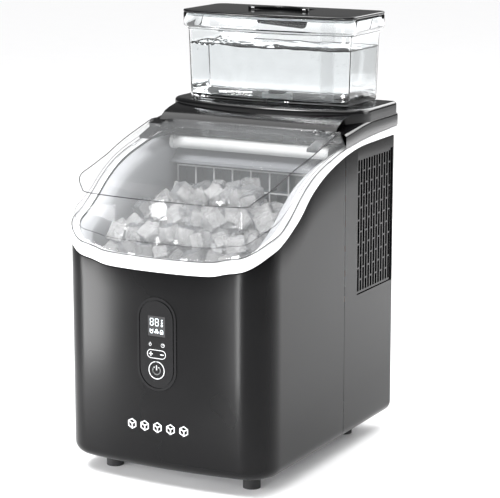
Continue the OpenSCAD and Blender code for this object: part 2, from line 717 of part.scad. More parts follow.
module refrigerant_pipes() color("#b87333") {
    top = comp_z + comp_h;
    bent_tube([[comp_x + 4, comp_y + 20, top + 2], [comp_x + 4, comp_y + 24, top + 16],
        [comp_x + 20, comp_y + 34, top + 22], [20, back_y - 16, top + 20],
        [70, back_y - 14, top + 24], [cond_x + 8, back_y - 13, row_z(0) - 16],
        [cond_x + 8, cond_y1 + 2, row_z(0)]], pipe_r, [0.3, -1, 0.3], 8);
    bent_tube([[comp_x - 20, comp_y - 14, top + 2], [comp_x - 30, comp_y - 20, top + 16],
        [comp_x - 42, tub_back_y + 14, top + 44], [comp_x - 43, tub_back_y + 11, 230],
        [comp_x - 43, tub_back_y + 11, 296]], pipe_r, [1, 1, 0.2], 8);
}
module filter_drier() color("#b87333") translate([-100, 100, 0]) {
    rod_z(200, 250, 7);
    rod_z(192, 200.1, 3);
    rod_z(249.9, 258, 3);
}
module power_board() color("#1f5c34") {
    y0 = tub_back_y + tub_t + 4.1;
    box([board_x - 33, y0, 184], [board_x + 33, y0 + 1.6, 286]);
    for (q = [[-24, 196, 16, 22, 14], [-2, 200, 20, 14, 16], [-26, 228, 12, 12, 20],
        [-6, 224, 26, 20, 10], [-22, 256, 14, 14, 12], [6, 254, 16, 22, 8]])
        translate([board_x + q[0], y0 + 1.5, q[1]]) cube([q[2], q[4], q[3]]);
}
spout_end_y = back_y - 6;
module drain_spout() color("#dddddd") translate([drain_x, 0, drain_z])
    ring_y(tub_back_y + 0.2, spout_end_y, 6, 4);
module drain_plug() color("#3a3a3a") translate([drain_x, 0, drain_z]) {
    rod_y(spout_end_y - 12, spout_end_y + 0.3, 3.92);
    rod_y(spout_end_y + 0.2, back_y + 0.4, 9.5);
}
module cord_gland() color("#151515") translate([gland_x, 0, gland_z]) difference() {
    union() {
        rod_y(back_y - shell_t - 5, back_y + 0.5, 8);
        rod_y(back_y - shell_t - 3, back_y - shell_t - 0.2, 11);
    }
    rod_y(back_y - 30, back_y + 9, cord_bore_r);
}
module rear_screws() color("silver") for (s = [-1, 1]) for (z = [foot_gap + 24, belt_rear_z - 24])
    translate([s*screw_x, 0, z]) {
        rod_y(back_y - 9, back_y + 0.2, 1.5);
        rod_y(back_y + 0.1, back_y + 0.8, 3.6);
    }

// ---- controls ------------------------------------------------------------------------------------
window_z = panel_z + 18.5;
rocker_z = panel_z - 10;
power_z = panel_z - 26.5;
face_t = 2.8;
behind_y = panel_front_y + face_t;
pivot_y = behind_y + 2.2;
module control_bezel() color("#161616") difference() {
    union() {
        along_front(panel_front_y, behind_y) translate([0, panel_z]) pill(panel_w, panel_h);
        along_front(front_y + shell_t + 0.6, front_y + shell_t + 2.6) translate([0, panel_z])
            pill(panel_w + 5, panel_h + 5);
        along_front(behind_y - 0.1, front_y + shell_t + 1) translate([0, panel_z])
            pill(panel_w, panel_h);
        for (z = [rocker_z - 6.6, rocker_z + rocker_h/2 + 0.6])
            box([-2.6, behind_y - 0.1, z], [2.6, pivot_y + 2, z + 1.6]);
    }
    along_front(panel_front_y - 1, panel_front_y + 0.9) translate([0, panel_z]) difference() {
        pill(panel_w - 5, panel_h - 5);
        pill(panel_w - 7.4, panel_h - 7.4);
    }
    difference() {
        along_front(behind_y, 0) translate([0, panel_z]) pill(panel_w - 4, panel_h - 4);
        for (z = [rocker_z - 6.6, rocker_z + rocker_h/2 + 0.6])
            box([-2.6, behind_y - 0.1, z], [2.6, pivot_y + 2, z + 1.6]);
    }
    along_front(panel_front_y - 1, panel_front_y + 1.6) translate([0, window_z])
        square([20, 21], center = true);
    along_front(panel_front_y - 1, 0) translate([0, window_z]) square([17, 18], center = true);
    along_front(panel_front_y - 1, behind_y + 1) translate([0, rocker_z]) rotate(90)
        pill(rocker_h + 2*key_clear, rocker_w + 2*key_clear);
    translate([0, 0, power_z]) rod_y(panel_front_y - 1, behind_y + 1, power_r + key_clear);
    translate([0, pivot_y, 0]) rod_z(rocker_z - 6.1, rocker_z + rocker_h/2 + 3, 1.02);
}
module display_window() color("#050505") along_front(panel_front_y + 0.1, panel_front_y + 1.55)
    translate([0, window_z]) square([19.6, 20.6], center = true);
module power_key() color("#181818") translate([0, 0, power_z]) {
    rod_y(panel_front_y - 0.2, behind_y + 1.4, power_r);
    intersection() {
        rod_y(behind_y + 0.1, behind_y + 1.4, power_r + 1.6);
        box([-30, front_y - 9, -7.2], [30, 0, 7.2]);
    }
    rod_y(behind_y + 1.3, behind_y + 4, 3);
}
module rocker_key() color("#181818") translate([0, 0, rocker_z]) difference() {
    union() {
        along_front(panel_front_y - 0.2, behind_y + 1) rotate(90) pill(rocker_h, rocker_w);
        box([-rocker_w/2 - 1.6, behind_y + 0.6, -rocker_h/2],
            [rocker_w/2 + 1.6, behind_y + 3.8, rocker_h/2]);
    }
    translate([0, pivot_y, 0]) rod_z(-20, 20, 1 + run_gap);
}
module rocker_pin() color("silver") translate([0, pivot_y, 0])
    rod_z(rocker_z - 6, rocker_z + rocker_h/2 + 2.1, 1);
board_y = behind_y + 7;
module control_board() color("#1f5c34") {
    along_front(board_y, board_y + 1.6) translate([0, panel_z]) square([34, 84], center = true);
    along_front(board_y - 5.2, board_y + 0.1) translate([0, window_z]) square([16, 17], center = true);
    translate([0, 0, power_z]) rod_y(behind_y + 4 + key_travel + 0.1, board_y + 0.1, 2);
    for (s = [-1, 1]) translate([s*8, 0, rocker_z]) rod_y(behind_y + 4.5, board_y + 0.1, 1.8);
}
badge_z = 64;
module cube_mark(r) {
    difference() {
        rotate(30) circle(r, $fn = 6);
        rotate(30) circle(r - 1.1, $fn = 6);
    }
    for (a = [-90, 30, 150]) rotate(a) translate([0, -0.5]) square([r - 0.3, 1]);
}
module front_badge() color("white") intersection() {
    difference() {
        column(-0.35, 40, 90);
        column(-0.05, 30, 100);
    }
    along_front(-body_d, 0) translate([0, badge_z]) for (i = [-2:2]) translate([i*15, 0])
        cube_mark(5.5);
}

// ---- water tank ------------------------------------------------------------------------------------
module tank_plan(inset)
    polygon(bowed_points(tank_w, tank_front_y, tank_back_y, tank_bow, tank_corner_r,
        tank_corner_r, inset));
module tank_block(inset, z0, z1) translate([0, 0, z0]) linear_extrude(z1 - z0) tank_plan(inset);
valve_r = 13.8;
shelf_z = tank_top_z - rim_h;
module water_tank() color([0.85, 0.92, 0.95, 0.3]) difference() {
    union() {
        tank_block(0, tank_z, shelf_z + tank_t);
        tank_block(-rim_out, shelf_z, tank_top_z);
    }
    tank_block(tank_t, tank_z + 3, tank_top_z + 1);
    tank_block(-rim_out + tank_t, shelf_z + tank_t, tank_top_z + 1);
    translate([0, tank_mid_y, 0]) rod_z(tank_z - 1, tank_z + 9, valve_r + 0.05);
}
pipe_x = 68;
pipe_y = tank_front_y + 17;
module standpipe() color("white") translate([pipe_x, pipe_y, 0]) difference() {
    rod_z(tank_z + 3.05, tank_top_z - 4.4, standpipe_r);
    rod_z(0, 600, standpipe_r - 1.5);
}
pocket_w = 57;
pocket_y0 = 110;
pocket_y1 = 138;
pocket_z = tank_top_z - 15;
module pocket(grow, z0, z1) translate([-pocket_w/2 - grow, pocket_y0 - grow, z0])
    cube([pocket_w + 2*grow, pocket_y1 - pocket_y0 + 2*grow, z1 - z0]);
grip_half = 33;
grip_rise = 20;
grip_inner = 12;
hinge2_y = 105;
hinge2_z = lid_top_z + 2.1;
module tank_lid() color("#161616") difference() {
    union() {
        tank_block(-rim_out, tank_top_z + 0.2, lid_top_z);
        tank_block(-rim_out + tank_t + 1.6, tank_top_z - 4, tank_top_z + 0.3);
        pocket(2, pocket_z - 2, lid_top_z);
        for (s = [-1, 1]) box([s*(grip_half + 1.9) - 1.5, hinge2_y - 2, lid_top_z - 0.1],
            [s*(grip_half + 1.9) + 1.5, hinge2_y + 2, lid_top_z + 4]);
    }
    difference() {
        tank_block(-rim_out + tank_t + 4, tank_top_z - 5, tank_top_z + 1.4);
        pocket(2, pocket_z - 2, lid_top_z);
    }
    pocket(0, pocket_z, lid_top_z + 1);
    translate([0, hinge2_y, hinge2_z]) rod_x(-50, 50, 1.02);
}
module tank_lid_seal() color("#e4e6e8") difference() {
    tank_block(-rim_out + tank_t + 0.3, tank_top_z - 3, tank_top_z - 1);
    tank_block(-rim_out + tank_t + 1.55, tank_top_z - 4, tank_top_z + 1);
}
// A segment of a disc over a chord: half its width, its rise, and the edge it stands on
module segment(half, rise, y) {
    r = (half*half + rise*rise)/(2*rise);
    intersection() {
        translate([0, y + rise - r]) circle(r, $fn = 180);
        translate([-half, y]) square([2*half, rise + 1]);
    }
}
module tank_handle() color("#1a1a1a") {
    z0 = lid_top_z + 0.5;
    difference() {
        union() {
            translate([0, 0, z0]) linear_extrude(3.2) difference() {
                segment(grip_half, grip_rise, hinge2_y);
                segment(grip_half - 4, grip_inner, hinge2_y - eps);
            }
            for (s = [-1, 1]) translate([s*(grip_half - 2), hinge2_y, z0 + 1.6])
                rod_x(-2, 2, 1.6);
        }
        translate([0, hinge2_y, hinge2_z]) rod_x(-50, 50, 1 + run_gap);
    }
}
module handle_pins() color("silver") for (s = [-1, 1])
    translate([s*(grip_half - 0.3), hinge2_y, hinge2_z]) rod_x(-3.6, 3.6, 1);
module valve_body() color("white") translate([0, tank_mid_y, 0]) difference() {
    union() {
        rod_z(tank_z - 8, tank_z + 5, valve_r);
        rod_z(tank_z + 3.05, tank_z + 5.5, valve_r + 3);
    }
    rod_z(tank_z - 9, tank_z + 1, valve_r - 2.5);
    difference() {
        rod_z(tank_z, tank_z + 6, 7.5);
        for (a = [0, 60, 120]) rotate([0, 0, a]) box([-8, -1, tank_z], [8, 1, tank_z + 3]);
        rod_z(tank_z, tank_z + 3, 4.4);
    }
    rod_z(tank_z - 20, tank_z + 9, 3 + run_gap);
}
module valve_plunger() color("#d64b3a") translate([0, tank_mid_y, 0]) {
    rod_z(tank_z - 11, tank_z + 7, 3);
    rod_z(tank_z + 5.7, tank_z + 8, 10);
}
module valve_socket() color("#d9dbdc") translate([0, tank_mid_y, 0]) difference() {
    union() {
        rod_z(platform_z - 33, platform_z - 0.4, socket_r);
        translate([9, 0, 0]) rod_z(platform_z - 47, platform_z - 32, 5);
    }
    difference() {
        rod_z(platform_z - 31, platform_z + 9, socket_r - 2);
        rod_z(platform_z - 32, tank_z - 11.3, 3);
    }
    translate([9, 0, 0]) rod_z(platform_z - 60, platform_z - 20, 3.4);
}
module fill_hose() color([0.75, 0.8, 0.82]) translate([9, 0, 0]) {
    bend = 12;
    ri = 5 + run_gap;
    ring_z(tank_mid_y, 160 + bend, platform_z - 34, hose_r, ri);
    translate([0, tank_mid_y, 160 + bend]) mirror([0, 1, 0]) mirror([0, 0, 1])
        elbow(bend, hose_r, ri);
    translate([0, 0, 160]) ring_y(tub_back_y - 3, tank_mid_y - bend, hose_r, ri);
}

module placed() translate([0, -rear_over/2, 0]) children();
placed() front_shell();
placed() rear_shell();
placed() white_belt();
placed() base_pan();
placed() feet();
placed() foot_screws();
placed() grille_right();
placed() grille_left();
placed() rear_cover();
placed() hinge_pins();
placed() inner_tub();
placed() ice_basket();
placed() evaporator_grid();
placed() evaporator_coil();
placed() water_distributor();
placed() ice_guide();
placed() water_pump();
placed() riser_hose();
placed() float_stem();
placed() level_float();
placed() ice_full_sensors();
placed() compressor();
placed() compressor_grommets();
placed() condenser_fins();
placed() condenser_coil();
placed() fan_shroud();
placed() fan_motor();
placed() fan_rotor();
placed() refrigerant_pipes();
placed() filter_drier();
placed() power_board();
placed() drain_spout();
placed() drain_plug();
placed() cord_gland();
placed() rear_screws();
placed() control_bezel();
placed() display_window();
placed() power_key();
placed() rocker_key();
placed() rocker_pin();
placed() control_board();
placed() front_badge();
placed() lid_window();
placed() lid_arms();
placed() lid_pads();
placed() water_tank();
placed() tank_lid();
placed() tank_lid_seal();
placed() tank_handle();
placed() handle_pins();
placed() standpipe();
placed() valve_body();
placed() valve_plunger();
placed() valve_socket();
placed() fill_hose();
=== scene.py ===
"""Counter-top ice maker with a lift-off water tank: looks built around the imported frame."""

import math
import random

import bmesh
import bpy
import numpy as np
from mathutils import Matrix, Vector, noise


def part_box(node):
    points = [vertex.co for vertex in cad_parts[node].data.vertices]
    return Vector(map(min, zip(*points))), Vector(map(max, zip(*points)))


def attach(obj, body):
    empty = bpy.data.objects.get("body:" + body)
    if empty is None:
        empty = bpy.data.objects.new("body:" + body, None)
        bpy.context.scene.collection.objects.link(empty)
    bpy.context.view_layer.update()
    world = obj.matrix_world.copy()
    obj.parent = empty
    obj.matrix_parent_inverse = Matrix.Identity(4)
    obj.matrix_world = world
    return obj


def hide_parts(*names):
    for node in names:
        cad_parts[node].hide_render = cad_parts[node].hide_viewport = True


bl_info = {
    "name": "Ice Maker",
    "version": (1, 0, 0),
    "blender": (4, 5, 0),
    "location": "View3D > Sidebar > Ice Maker",
    "description": "Builds the shells, lid, tank, ice and finishes of a counter-top ice maker",
    "category": "Object",
}

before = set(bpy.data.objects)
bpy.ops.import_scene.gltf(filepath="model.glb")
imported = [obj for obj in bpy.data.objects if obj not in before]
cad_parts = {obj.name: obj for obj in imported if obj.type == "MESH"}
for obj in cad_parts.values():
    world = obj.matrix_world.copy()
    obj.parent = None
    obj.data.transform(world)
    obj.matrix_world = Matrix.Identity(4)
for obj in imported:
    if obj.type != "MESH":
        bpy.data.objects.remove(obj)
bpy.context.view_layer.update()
MM = 0.001

# ---- where things are, from the frame -----------------------------------------------------------
belt_lo, belt_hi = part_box("white_belt")
shell_lo, shell_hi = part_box("front_shell")
rear_lo, rear_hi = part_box("rear_shell")
cover_lo, cover_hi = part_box("rear_cover")
tank_lo, tank_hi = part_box("water_tank")
tub_lo, tub_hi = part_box("inner_tub")
basket_lo, basket_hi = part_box("ice_basket")
bezel_lo, bezel_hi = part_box("control_bezel")
display_lo, display_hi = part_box("display_window")
rocker_lo, rocker_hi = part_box("rocker_key")
power_lo, power_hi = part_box("power_key")
pins_lo, pins_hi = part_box("hinge_pins")

HALF_W = shell_hi.x
FRONT_Y = shell_lo.y
SEAM_Y = (shell_hi.y + rear_lo.y) / 2
BACK_Y = rear_hi.y
TOP_BACK_Y = belt_hi.y - 0.8 * MM
DEPTH = BACK_Y - FRONT_Y
HINGE_Y = (pins_lo.y + pins_hi.y) / 2
HINGE_Z = (pins_lo.z + pins_hi.z) / 2
TUB_BACK_Y = tub_hi.y - 6.5 * MM
PLINTH_FRONT_Y = HINGE_Y + 28 * MM
PLINTH_RAMP_HALF = HALF_W - 12.5 * MM
PLINTH_CORNER_R = 28 * MM
POCKET_Y0, POCKET_Y1 = 106.5 * MM, 134.5 * MM
POCKET_HALF = 28.5 * MM

# The belt's two edges: (share of the depth, share of the rise), from front to back
BELT_LOW = ((-0.02, 0), (0.007, 0.01), (0.017, 0.06), (0.045, 0.145), (0.083, 0.225),
            (0.147, 0.302), (0.186, 0.354), (0.263, 0.481), (0.333, 0.642), (0.404, 0.755),
            (0.478, 0.84), (0.59, 0.929), (0.705, 0.981), (0.853, 0.995), (1.06, 1))
BELT_HIGH = ((-0.02, 0), (0.007, 0.01), (0.017, 0.06), (0.045, 0.152), (0.083, 0.232),
             (0.147, 0.309), (0.208, 0.426), (0.276, 0.583), (0.346, 0.706), (0.42, 0.789),
             (0.494, 0.844), (0.567, 0.892), (0.644, 0.926), (0.801, 0.969), (1.06, 1))
# The lid's top, as shares of the way from the front to the hinge and of its rise
LID_TOP = ((-0.03, -0.03), (0.048, 0), (0.075, 0.1), (0.146, 0.225), (0.303, 0.362),
           (0.421, 0.472), (0.567, 0.612), (0.708, 0.745), (0.848, 0.87), (0.944, 0.953),
           (1, 1), (1.05, 1.01))


def smooth_line(points, y0, dy, z0, dz, per=5):
    """A Catmull-Rom curve through the shares, as two arrays of y and z."""
    p = [(y0 + a * dy, z0 + b * dz) for a, b in points]
    ys, zs = [], []
    for i in range(len(p) - 1):
        a, b, c, d = p[max(i - 1, 0)], p[i], p[i + 1], p[min(i + 2, len(p) - 1)]
        for k in range(per):
            t = k / per
            q = [0.5 * (2 * b[j] + (c[j] - a[j]) * t + (2 * a[j] - 5 * b[j] + 4 * c[j] - d[j]) * t * t
                        + (3 * b[j] - a[j] - 3 * c[j] + d[j]) * t ** 3) for j in (0, 1)]
            ys.append(q[0])
            zs.append(q[1])
    ys.append(p[-1][0])
    zs.append(p[-1][1])
    return np.array(ys), np.array(zs)


FIT = 0.3 * MM
BELT_FRONT_H = 13.5 * MM
LOW_FRONT_Z = belt_lo.z - FIT
HIGH_REAR_Z = belt_hi.z
LOW_REAR_Z = rear_hi.z
low_line = smooth_line(BELT_LOW, FRONT_Y, DEPTH, LOW_FRONT_Z, LOW_REAR_Z - LOW_FRONT_Z)
high_line = smooth_line(BELT_HIGH, FRONT_Y, DEPTH, LOW_FRONT_Z + BELT_FRONT_H,
                        HIGH_REAR_Z - LOW_FRONT_Z - BELT_FRONT_H)
LID_REAR_Z = HINGE_Z + 5.3 * MM
LID_WALL_H = 59.5 * MM
LID_FRONT_Z = LOW_FRONT_Z + BELT_FRONT_H + LID_WALL_H
lid_line = smooth_line(LID_TOP, FRONT_Y, HINGE_Y - FRONT_Y, LID_FRONT_Z, LID_REAR_Z - LID_FRONT_Z)


def low_z(y):
    return float(np.interp(y, *low_line))


def high_z(y):
    return float(np.interp(y, *high_line))


def lid_z(y):
    return float(np.interp(y, *lid_line))


def quarter(n, first=0):
    """Angles over a quarter turn, in n steps."""
    return [math.pi / 2 * i / n for i in range(first, n + 1)]


def ease(t):
    """Goes smoothly from 0 to 1."""
    t = min(max(t, 0.0), 1.0)
    return t * t * (3 - 2 * t)


# ---- outlines and lofts -------------------------------------------------------------------------
class Outline:
    """A plan outline with a bowed front and rounded corners, which can be moved inwards."""

    def __init__(self, width, front, back, bow, front_r, rear_r):
        self.half, self.front, self.back = width / 2, front, back
        self.bow, self.front_r, self.rear_r = bow, front_r, rear_r

    def open(self, inset=0.0, y_end=None, sides=44, corner=10, front=22):
        """Points from the right end, round the front, to the left end."""
        big = (self.half ** 2 + self.bow ** 2) / (2 * self.bow)
        r = max(self.front_r, inset + 0.5 * MM)
        cy, cx = self.front + big, self.half - r
        yc = cy - math.sqrt((big - r) ** 2 - cx * cx)
        turn = math.atan2(yc - cy, cx)
        y_end = self.back - self.rear_r if y_end is None else y_end
        right = [(self.half - inset, y_end + (yc - y_end) * i / sides) for i in range(sides)]
        right += [(cx + (r - inset) * math.cos(turn * i / corner),
                   yc + (r - inset) * math.sin(turn * i / corner)) for i in range(corner)]
        sweep = -math.pi / 2 - turn
        right += [((big - inset) * math.cos(turn + sweep * i / front),
                   cy + (big - inset) * math.sin(turn + sweep * i / front)) for i in range(front)]
        left = [(-x, y) for x, y in reversed(right)]
        return right + [(0.0, self.front + inset)] + left

    def closed(self, inset=0.0, sides=44, corner=10, front=22, rear=10, back=8):
        """The whole outline, anticlockwise from the middle of the back."""
        r = max(self.rear_r, inset + 0.5 * MM)
        cx, cy = self.half - r, self.back - r
        half = [(cx * i / back, self.back - inset) for i in range(1, back)]
        half += [(cx + (r - inset) * math.sin(math.pi / 2 * i / rear),
                  cy + (r - inset) * math.cos(math.pi / 2 * i / rear)) for i in range(rear)]
        way = self.open(inset, cy, sides, corner, front)
        return [(0.0, self.back - inset)] + half + way + [(-x, y) for x, y in reversed(half)]

    def rear(self, inset, start, sides=44, corner=8, back=8):
        """Points from the right side at start, round the back, to the left side."""
        r = max(self.rear_r, inset + 0.5 * MM)
        cx, cy = self.half - r, self.back - r
        right = [(self.half - inset, start + (cy - start) * i / sides) for i in range(sides)]
        right += [(cx + (r - inset) * math.cos(math.pi / 2 * i / corner),
                   cy + (r - inset) * math.sin(math.pi / 2 * i / corner)) for i in range(corner)]
        right += [(cx * (1 - i / back), self.back - inset) for i in range(back)]
        return right + [(0.0, self.back - inset)] + [(-x, y) for x, y in reversed(right)]


def loft(rings, closed=False):
    """Quads between rings of points that all have the same number of points."""
    n = len(rings[0])
    if any(len(ring) != n for ring in rings):
        raise ValueError("the rings of a loft need the same number of points")
    verts = [tuple(p) for ring in rings for p in ring]
    faces = []
    for k in range(len(rings) - 1):
        for i in range(n if closed else n - 1):
            j = (i + 1) % n
            faces.append((k * n + i, k * n + j, (k + 1) * n + j, (k + 1) * n + i))
    return verts, faces


def cap(verts, faces, start, n, flip=False):
    """Closes a ring of the mesh with one face."""
    ring = list(range(start, start + n))
    faces.append(ring[::-1] if flip else ring)


def make(name, verts, faces, finish, body, slot=None, replaces=(), angle=40, weld=1e-6):
    """A smooth-shaded mesh piece that rides on a body of the frame."""
    mesh = bpy.data.meshes.new(name)
    mesh.from_pydata([tuple(v) for v in verts], [], faces)
    bm = bmesh.new()
    bm.from_mesh(mesh)
    bmesh.ops.remove_doubles(bm, verts=bm.verts, dist=weld)
    bmesh.ops.recalc_face_normals(bm, faces=bm.faces)
    for face in bm.faces:
        face.smooth = True
    bm.to_mesh(mesh)
    bm.free()
    mesh.set_sharp_from_angle(angle=math.radians(angle))
    mesh.materials.append(finishes()[finish])
    obj = bpy.data.objects.new(name, mesh)
    bpy.context.scene.collection.objects.link(obj)
    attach(obj, body)
    if replaces:
        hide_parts(*replaces)
    return obj


def thicken(obj, depth):
    wall = obj.modifiers.new("wall", "SOLIDIFY")
    wall.thickness = depth
    wall.offset = -1
    wall.use_even_offset = True


def soften(obj, width, segments):
    edge = obj.modifiers.new("edges", "BEVEL")
    edge.width = width
    edge.segments = segments
    edge.limit_method = "ANGLE"
    edge.angle_limit = math.radians(35)


def cut(obj, verts, faces):
    """Removes a closed shape from a piece, and leaves no cutter behind."""
    mesh = bpy.data.meshes.new("cutter")
    mesh.from_pydata([tuple(v) for v in verts], [], faces)
    bm = bmesh.new()
    bm.from_mesh(mesh)
    bmesh.ops.recalc_face_normals(bm, faces=bm.faces)
    bm.to_mesh(mesh)
    bm.free()
    cutter = bpy.data.objects.new("cutter", mesh)
    bpy.context.scene.collection.objects.link(cutter)
    mod = obj.modifiers.new("opening", "BOOLEAN")
    mod.operation = "DIFFERENCE"
    mod.solver = "EXACT"
    mod.object = cutter
    bake_modifiers(obj)
    bpy.data.objects.remove(cutter)


def bake_modifiers(obj):
    """Turns a piece's modifiers into mesh."""
    bpy.context.view_layer.update()
    graph = bpy.context.evaluated_depsgraph_get()
    mesh = bpy.data.meshes.new_from_object(obj.evaluated_get(graph), depsgraph=graph)
    mesh.name = obj.name
    obj.data = mesh
    obj.modifiers.clear()
    bpy.context.view_layer.update()


def block(lo, hi):
    """A box's corners and faces."""
    verts = [(x, y, z) for z in (lo[2], hi[2]) for y in (lo[1], hi[1]) for x in (lo[0], hi[0])]
    return verts, [(0, 2, 3, 1), (4, 5, 7, 6), (0, 1, 5, 4), (1, 3, 7, 5), (3, 2, 6, 7), (2, 0, 4, 6)]


def upright(points, y0, y1):
    """A flat outline in X and Z, given depth along Y."""
    n = len(points)
    verts = [(x, y0, z) for x, z in points] + [(x, y1, z) for x, z in points]
    faces = [tuple(range(n)), tuple(range(2 * n - 1, n - 1, -1))]
    faces += [(i, (i + 1) % n, n + (i + 1) % n, n + i) for i in range(n)]
    return verts, faces


def join(parts):
    """Several (verts, faces) in one."""
    verts, faces = [], []
    for v, f in parts:
        at = len(verts)
        verts += v
        faces += [tuple(i + at for i in face) for face in f]
    return verts, faces


def tube_along(points, r, around=6):
    """A thin rod along a way, as verts and faces, with closed ends."""
    way = [Vector(p) for p in points]
    rings = []
    for i, spot in enumerate(way):
        ahead = (way[min(i + 1, len(way) - 1)] - way[max(i - 1, 0)]).normalized()
        side = ahead.cross(Vector((0, 0, 1)))
        side = side.normalized() if side.length > 1e-6 else Vector((1, 0, 0))
        up = side.cross(ahead)
        rings.append([tuple(spot + (side * math.cos(a) + up * math.sin(a)) * r)
                      for a in (2 * math.pi * k / around for k in range(around))])
    verts = [v for ring in rings for v in ring]
    faces = [tuple(range(around)), tuple(range(len(verts) - 1, len(verts) - 1 - around, -1))]
    for i in range(len(rings) - 1):
        for k in range(around):
            a, b = i * around + k, i * around + (k + 1) % around
            faces.append((a, a + around, b + around, b))
    return verts, faces


def pill(width, height, x=0.0, z=0.0, turns=16):
    """A round-ended slot's outline in X and Z."""
    r = min(width, height) / 2
    dx, dz = max(width / 2 - r, 0), max(height / 2 - r, 0)
    points = []
    for i in range(4 * turns):
        a = math.pi / 2 * (i + 0.5) / turns
        points.append((x + r * math.cos(a) + math.copysign(dx, math.cos(a)),
                       z + r * math.sin(a) + math.copysign(dz, math.sin(a))))
    return points


# ---- finishes -----------------------------------------------------------------------------------
def nodes_of(name):
    mat = bpy.data.materials.new(name)
    mat.use_nodes = True
    tree = mat.node_tree
    return mat, tree, tree.nodes["Principled BSDF"]


def speckle(tree, scale, detail=3.0, rough=0.5):
    """A noise that is fixed to the piece."""
    where = tree.nodes.new("ShaderNodeTexCoord")
    grain = tree.nodes.new("ShaderNodeTexNoise")
    grain.inputs["Scale"].default_value = scale
    grain.inputs["Detail"].default_value = detail
    grain.inputs["Roughness"].default_value = rough
    tree.links.new(where.outputs["Object"], grain.inputs["Vector"])
    return grain


def ramp(tree, level, *stops):
    """A colour ramp through (position, colour) stops."""
    node = tree.nodes.new("ShaderNodeValToRGB")
    marks = node.color_ramp.elements
    for k, (position, colour) in enumerate(stops):
        mark = marks[k] if k < 2 else marks.new(position)
        mark.position = position
        mark.color = (*colour, 1)
    tree.links.new(level, node.inputs["Fac"])
    return node.outputs["Color"]


def spread(tree, source, low, high):
    """A colour that wanders between two values with a noise."""
    return ramp(tree, source.outputs["Fac"], (0.3, low), (0.7, high))


def bumpy(tree, shader, source, strength, distance):
    bump = tree.nodes.new("ShaderNodeBump")
    bump.inputs["Strength"].default_value = strength
    bump.inputs["Distance"].default_value = distance
    tree.links.new(source.outputs["Fac"], bump.inputs["Height"])
    tree.links.new(bump.outputs["Normal"], shader.inputs["Normal"])


def shade(colour, by):
    return tuple(min(max(c * by, 0.0), 1.0) for c in colour)


def moulded(name, colour, rough=0.4, grain=900.0, relief=0.08, vary=0.12, metal=0.0, coat=0.0,
            coat_rough=0.1, specular=0.5):
    """Moulded plastic, paint or metal with a fine grain and a slow change of tone."""
    mat, tree, shader = nodes_of(name)
    slow = speckle(tree, 14.0)
    tone = spread(tree, slow, shade(colour, 1 - vary), shade(colour, 1 + vary))
    tree.links.new(tone, shader.inputs["Base Color"])
    shader.inputs["Metallic"].default_value = metal
    shader.inputs["Specular IOR Level"].default_value = specular
    shader.inputs["Coat Weight"].default_value = coat
    shader.inputs["Coat Roughness"].default_value = coat_rough
    fine = speckle(tree, grain, 2.0)
    level = tree.nodes.new("ShaderNodeMapRange")
    level.inputs["To Min"].default_value = max(rough - 0.04, 0.0)
    level.inputs["To Max"].default_value = min(rough + 0.04, 1.0)
    tree.links.new(fine.outputs["Fac"], level.inputs["Value"])
    tree.links.new(level.outputs["Result"], shader.inputs["Roughness"])
    bumpy(tree, shader, fine, relief, 0.0002)
    return mat


def see_through(name, colour, ior=1.45, rough=0.0, ripple=0.0, scale=60.0, vary=0.03, weight=1.0,
                edge=None):
    """Clear plastic, water or ice; a given edge colour darkens what is seen along its surface."""
    mat, tree, shader = nodes_of(name)
    slow = speckle(tree, scale)
    tone = spread(tree, slow, shade(colour, 1 - vary), colour)
    if edge:
        facing = tree.nodes.new("ShaderNodeLayerWeight")
        both = tree.nodes.new("ShaderNodeMix")
        both.data_type = "RGBA"
        both.blend_type = "MULTIPLY"
        both.inputs["Factor"].default_value = 1.0
        tree.links.new(tone, both.inputs[6])
        tree.links.new(ramp(tree, facing.outputs["Facing"], (0.3, colour), (0.85, edge)), both.inputs[7])
        tone = both.outputs[2]
    tree.links.new(tone, shader.inputs["Base Color"])
    shader.inputs["Transmission Weight"].default_value = weight
    shader.inputs["IOR"].default_value = ior
    shader.inputs["Roughness"].default_value = rough
    if ripple:
        bumpy(tree, shader, slow, ripple, 0.001)
    return mat


def film(name, colour, edge, thin=0.07, thick=0.85, rough=0.04):
    """Thin clear plastic: nearly invisible face on, and dark where it is seen along its wall."""
    mat, tree, shader = nodes_of(name)
    facing = tree.nodes.new("ShaderNodeLayerWeight")
    facing.inputs["Blend"].default_value = 0.5
    tone = ramp(tree, facing.outputs["Facing"], (0.72, colour), (0.96, edge))
    tree.links.new(tone, shader.inputs["Base Color"])
    cover = ramp(tree, facing.outputs["Facing"], (0.55, (thin,) * 3), (1.0, (thick,) * 3),
                 (0.85, (thin * 1.8,) * 3))
    tree.links.new(cover, shader.inputs["Alpha"])
    shader.inputs["Roughness"].default_value = rough
    shader.inputs["Specular IOR Level"].default_value = 0.8
    bumpy(tree, shader, speckle(tree, 40.0, 1.0), 0.02, 0.001)
    return mat


def deep(name, front, back, y0, y1, rough, metal):
    """Painted shade: a finish that goes from one tone to a darker one with depth into the piece, for the
    shade that falls inside deep cells.
    """
    mat, tree, shader = nodes_of(name)
    where = tree.nodes.new("ShaderNodeTexCoord")
    split = tree.nodes.new("ShaderNodeSeparateXYZ")
    tree.links.new(where.outputs["Object"], split.inputs["Vector"])
    level = tree.nodes.new("ShaderNodeMapRange")
    level.inputs["From Min"].default_value = y0
    level.inputs["From Max"].default_value = y1
    tree.links.new(split.outputs["Y"], level.inputs["Value"])
    tone = ramp(tree, level.outputs["Result"], (0.0, front), (0.35, back))
    tree.links.new(tone, shader.inputs["Base Color"])
    shader.inputs["Roughness"].default_value = rough
    shader.inputs["Metallic"].default_value = metal
    bumpy(tree, shader, speckle(tree, 300.0, 2.0), 0.04, 0.0003)
    return mat


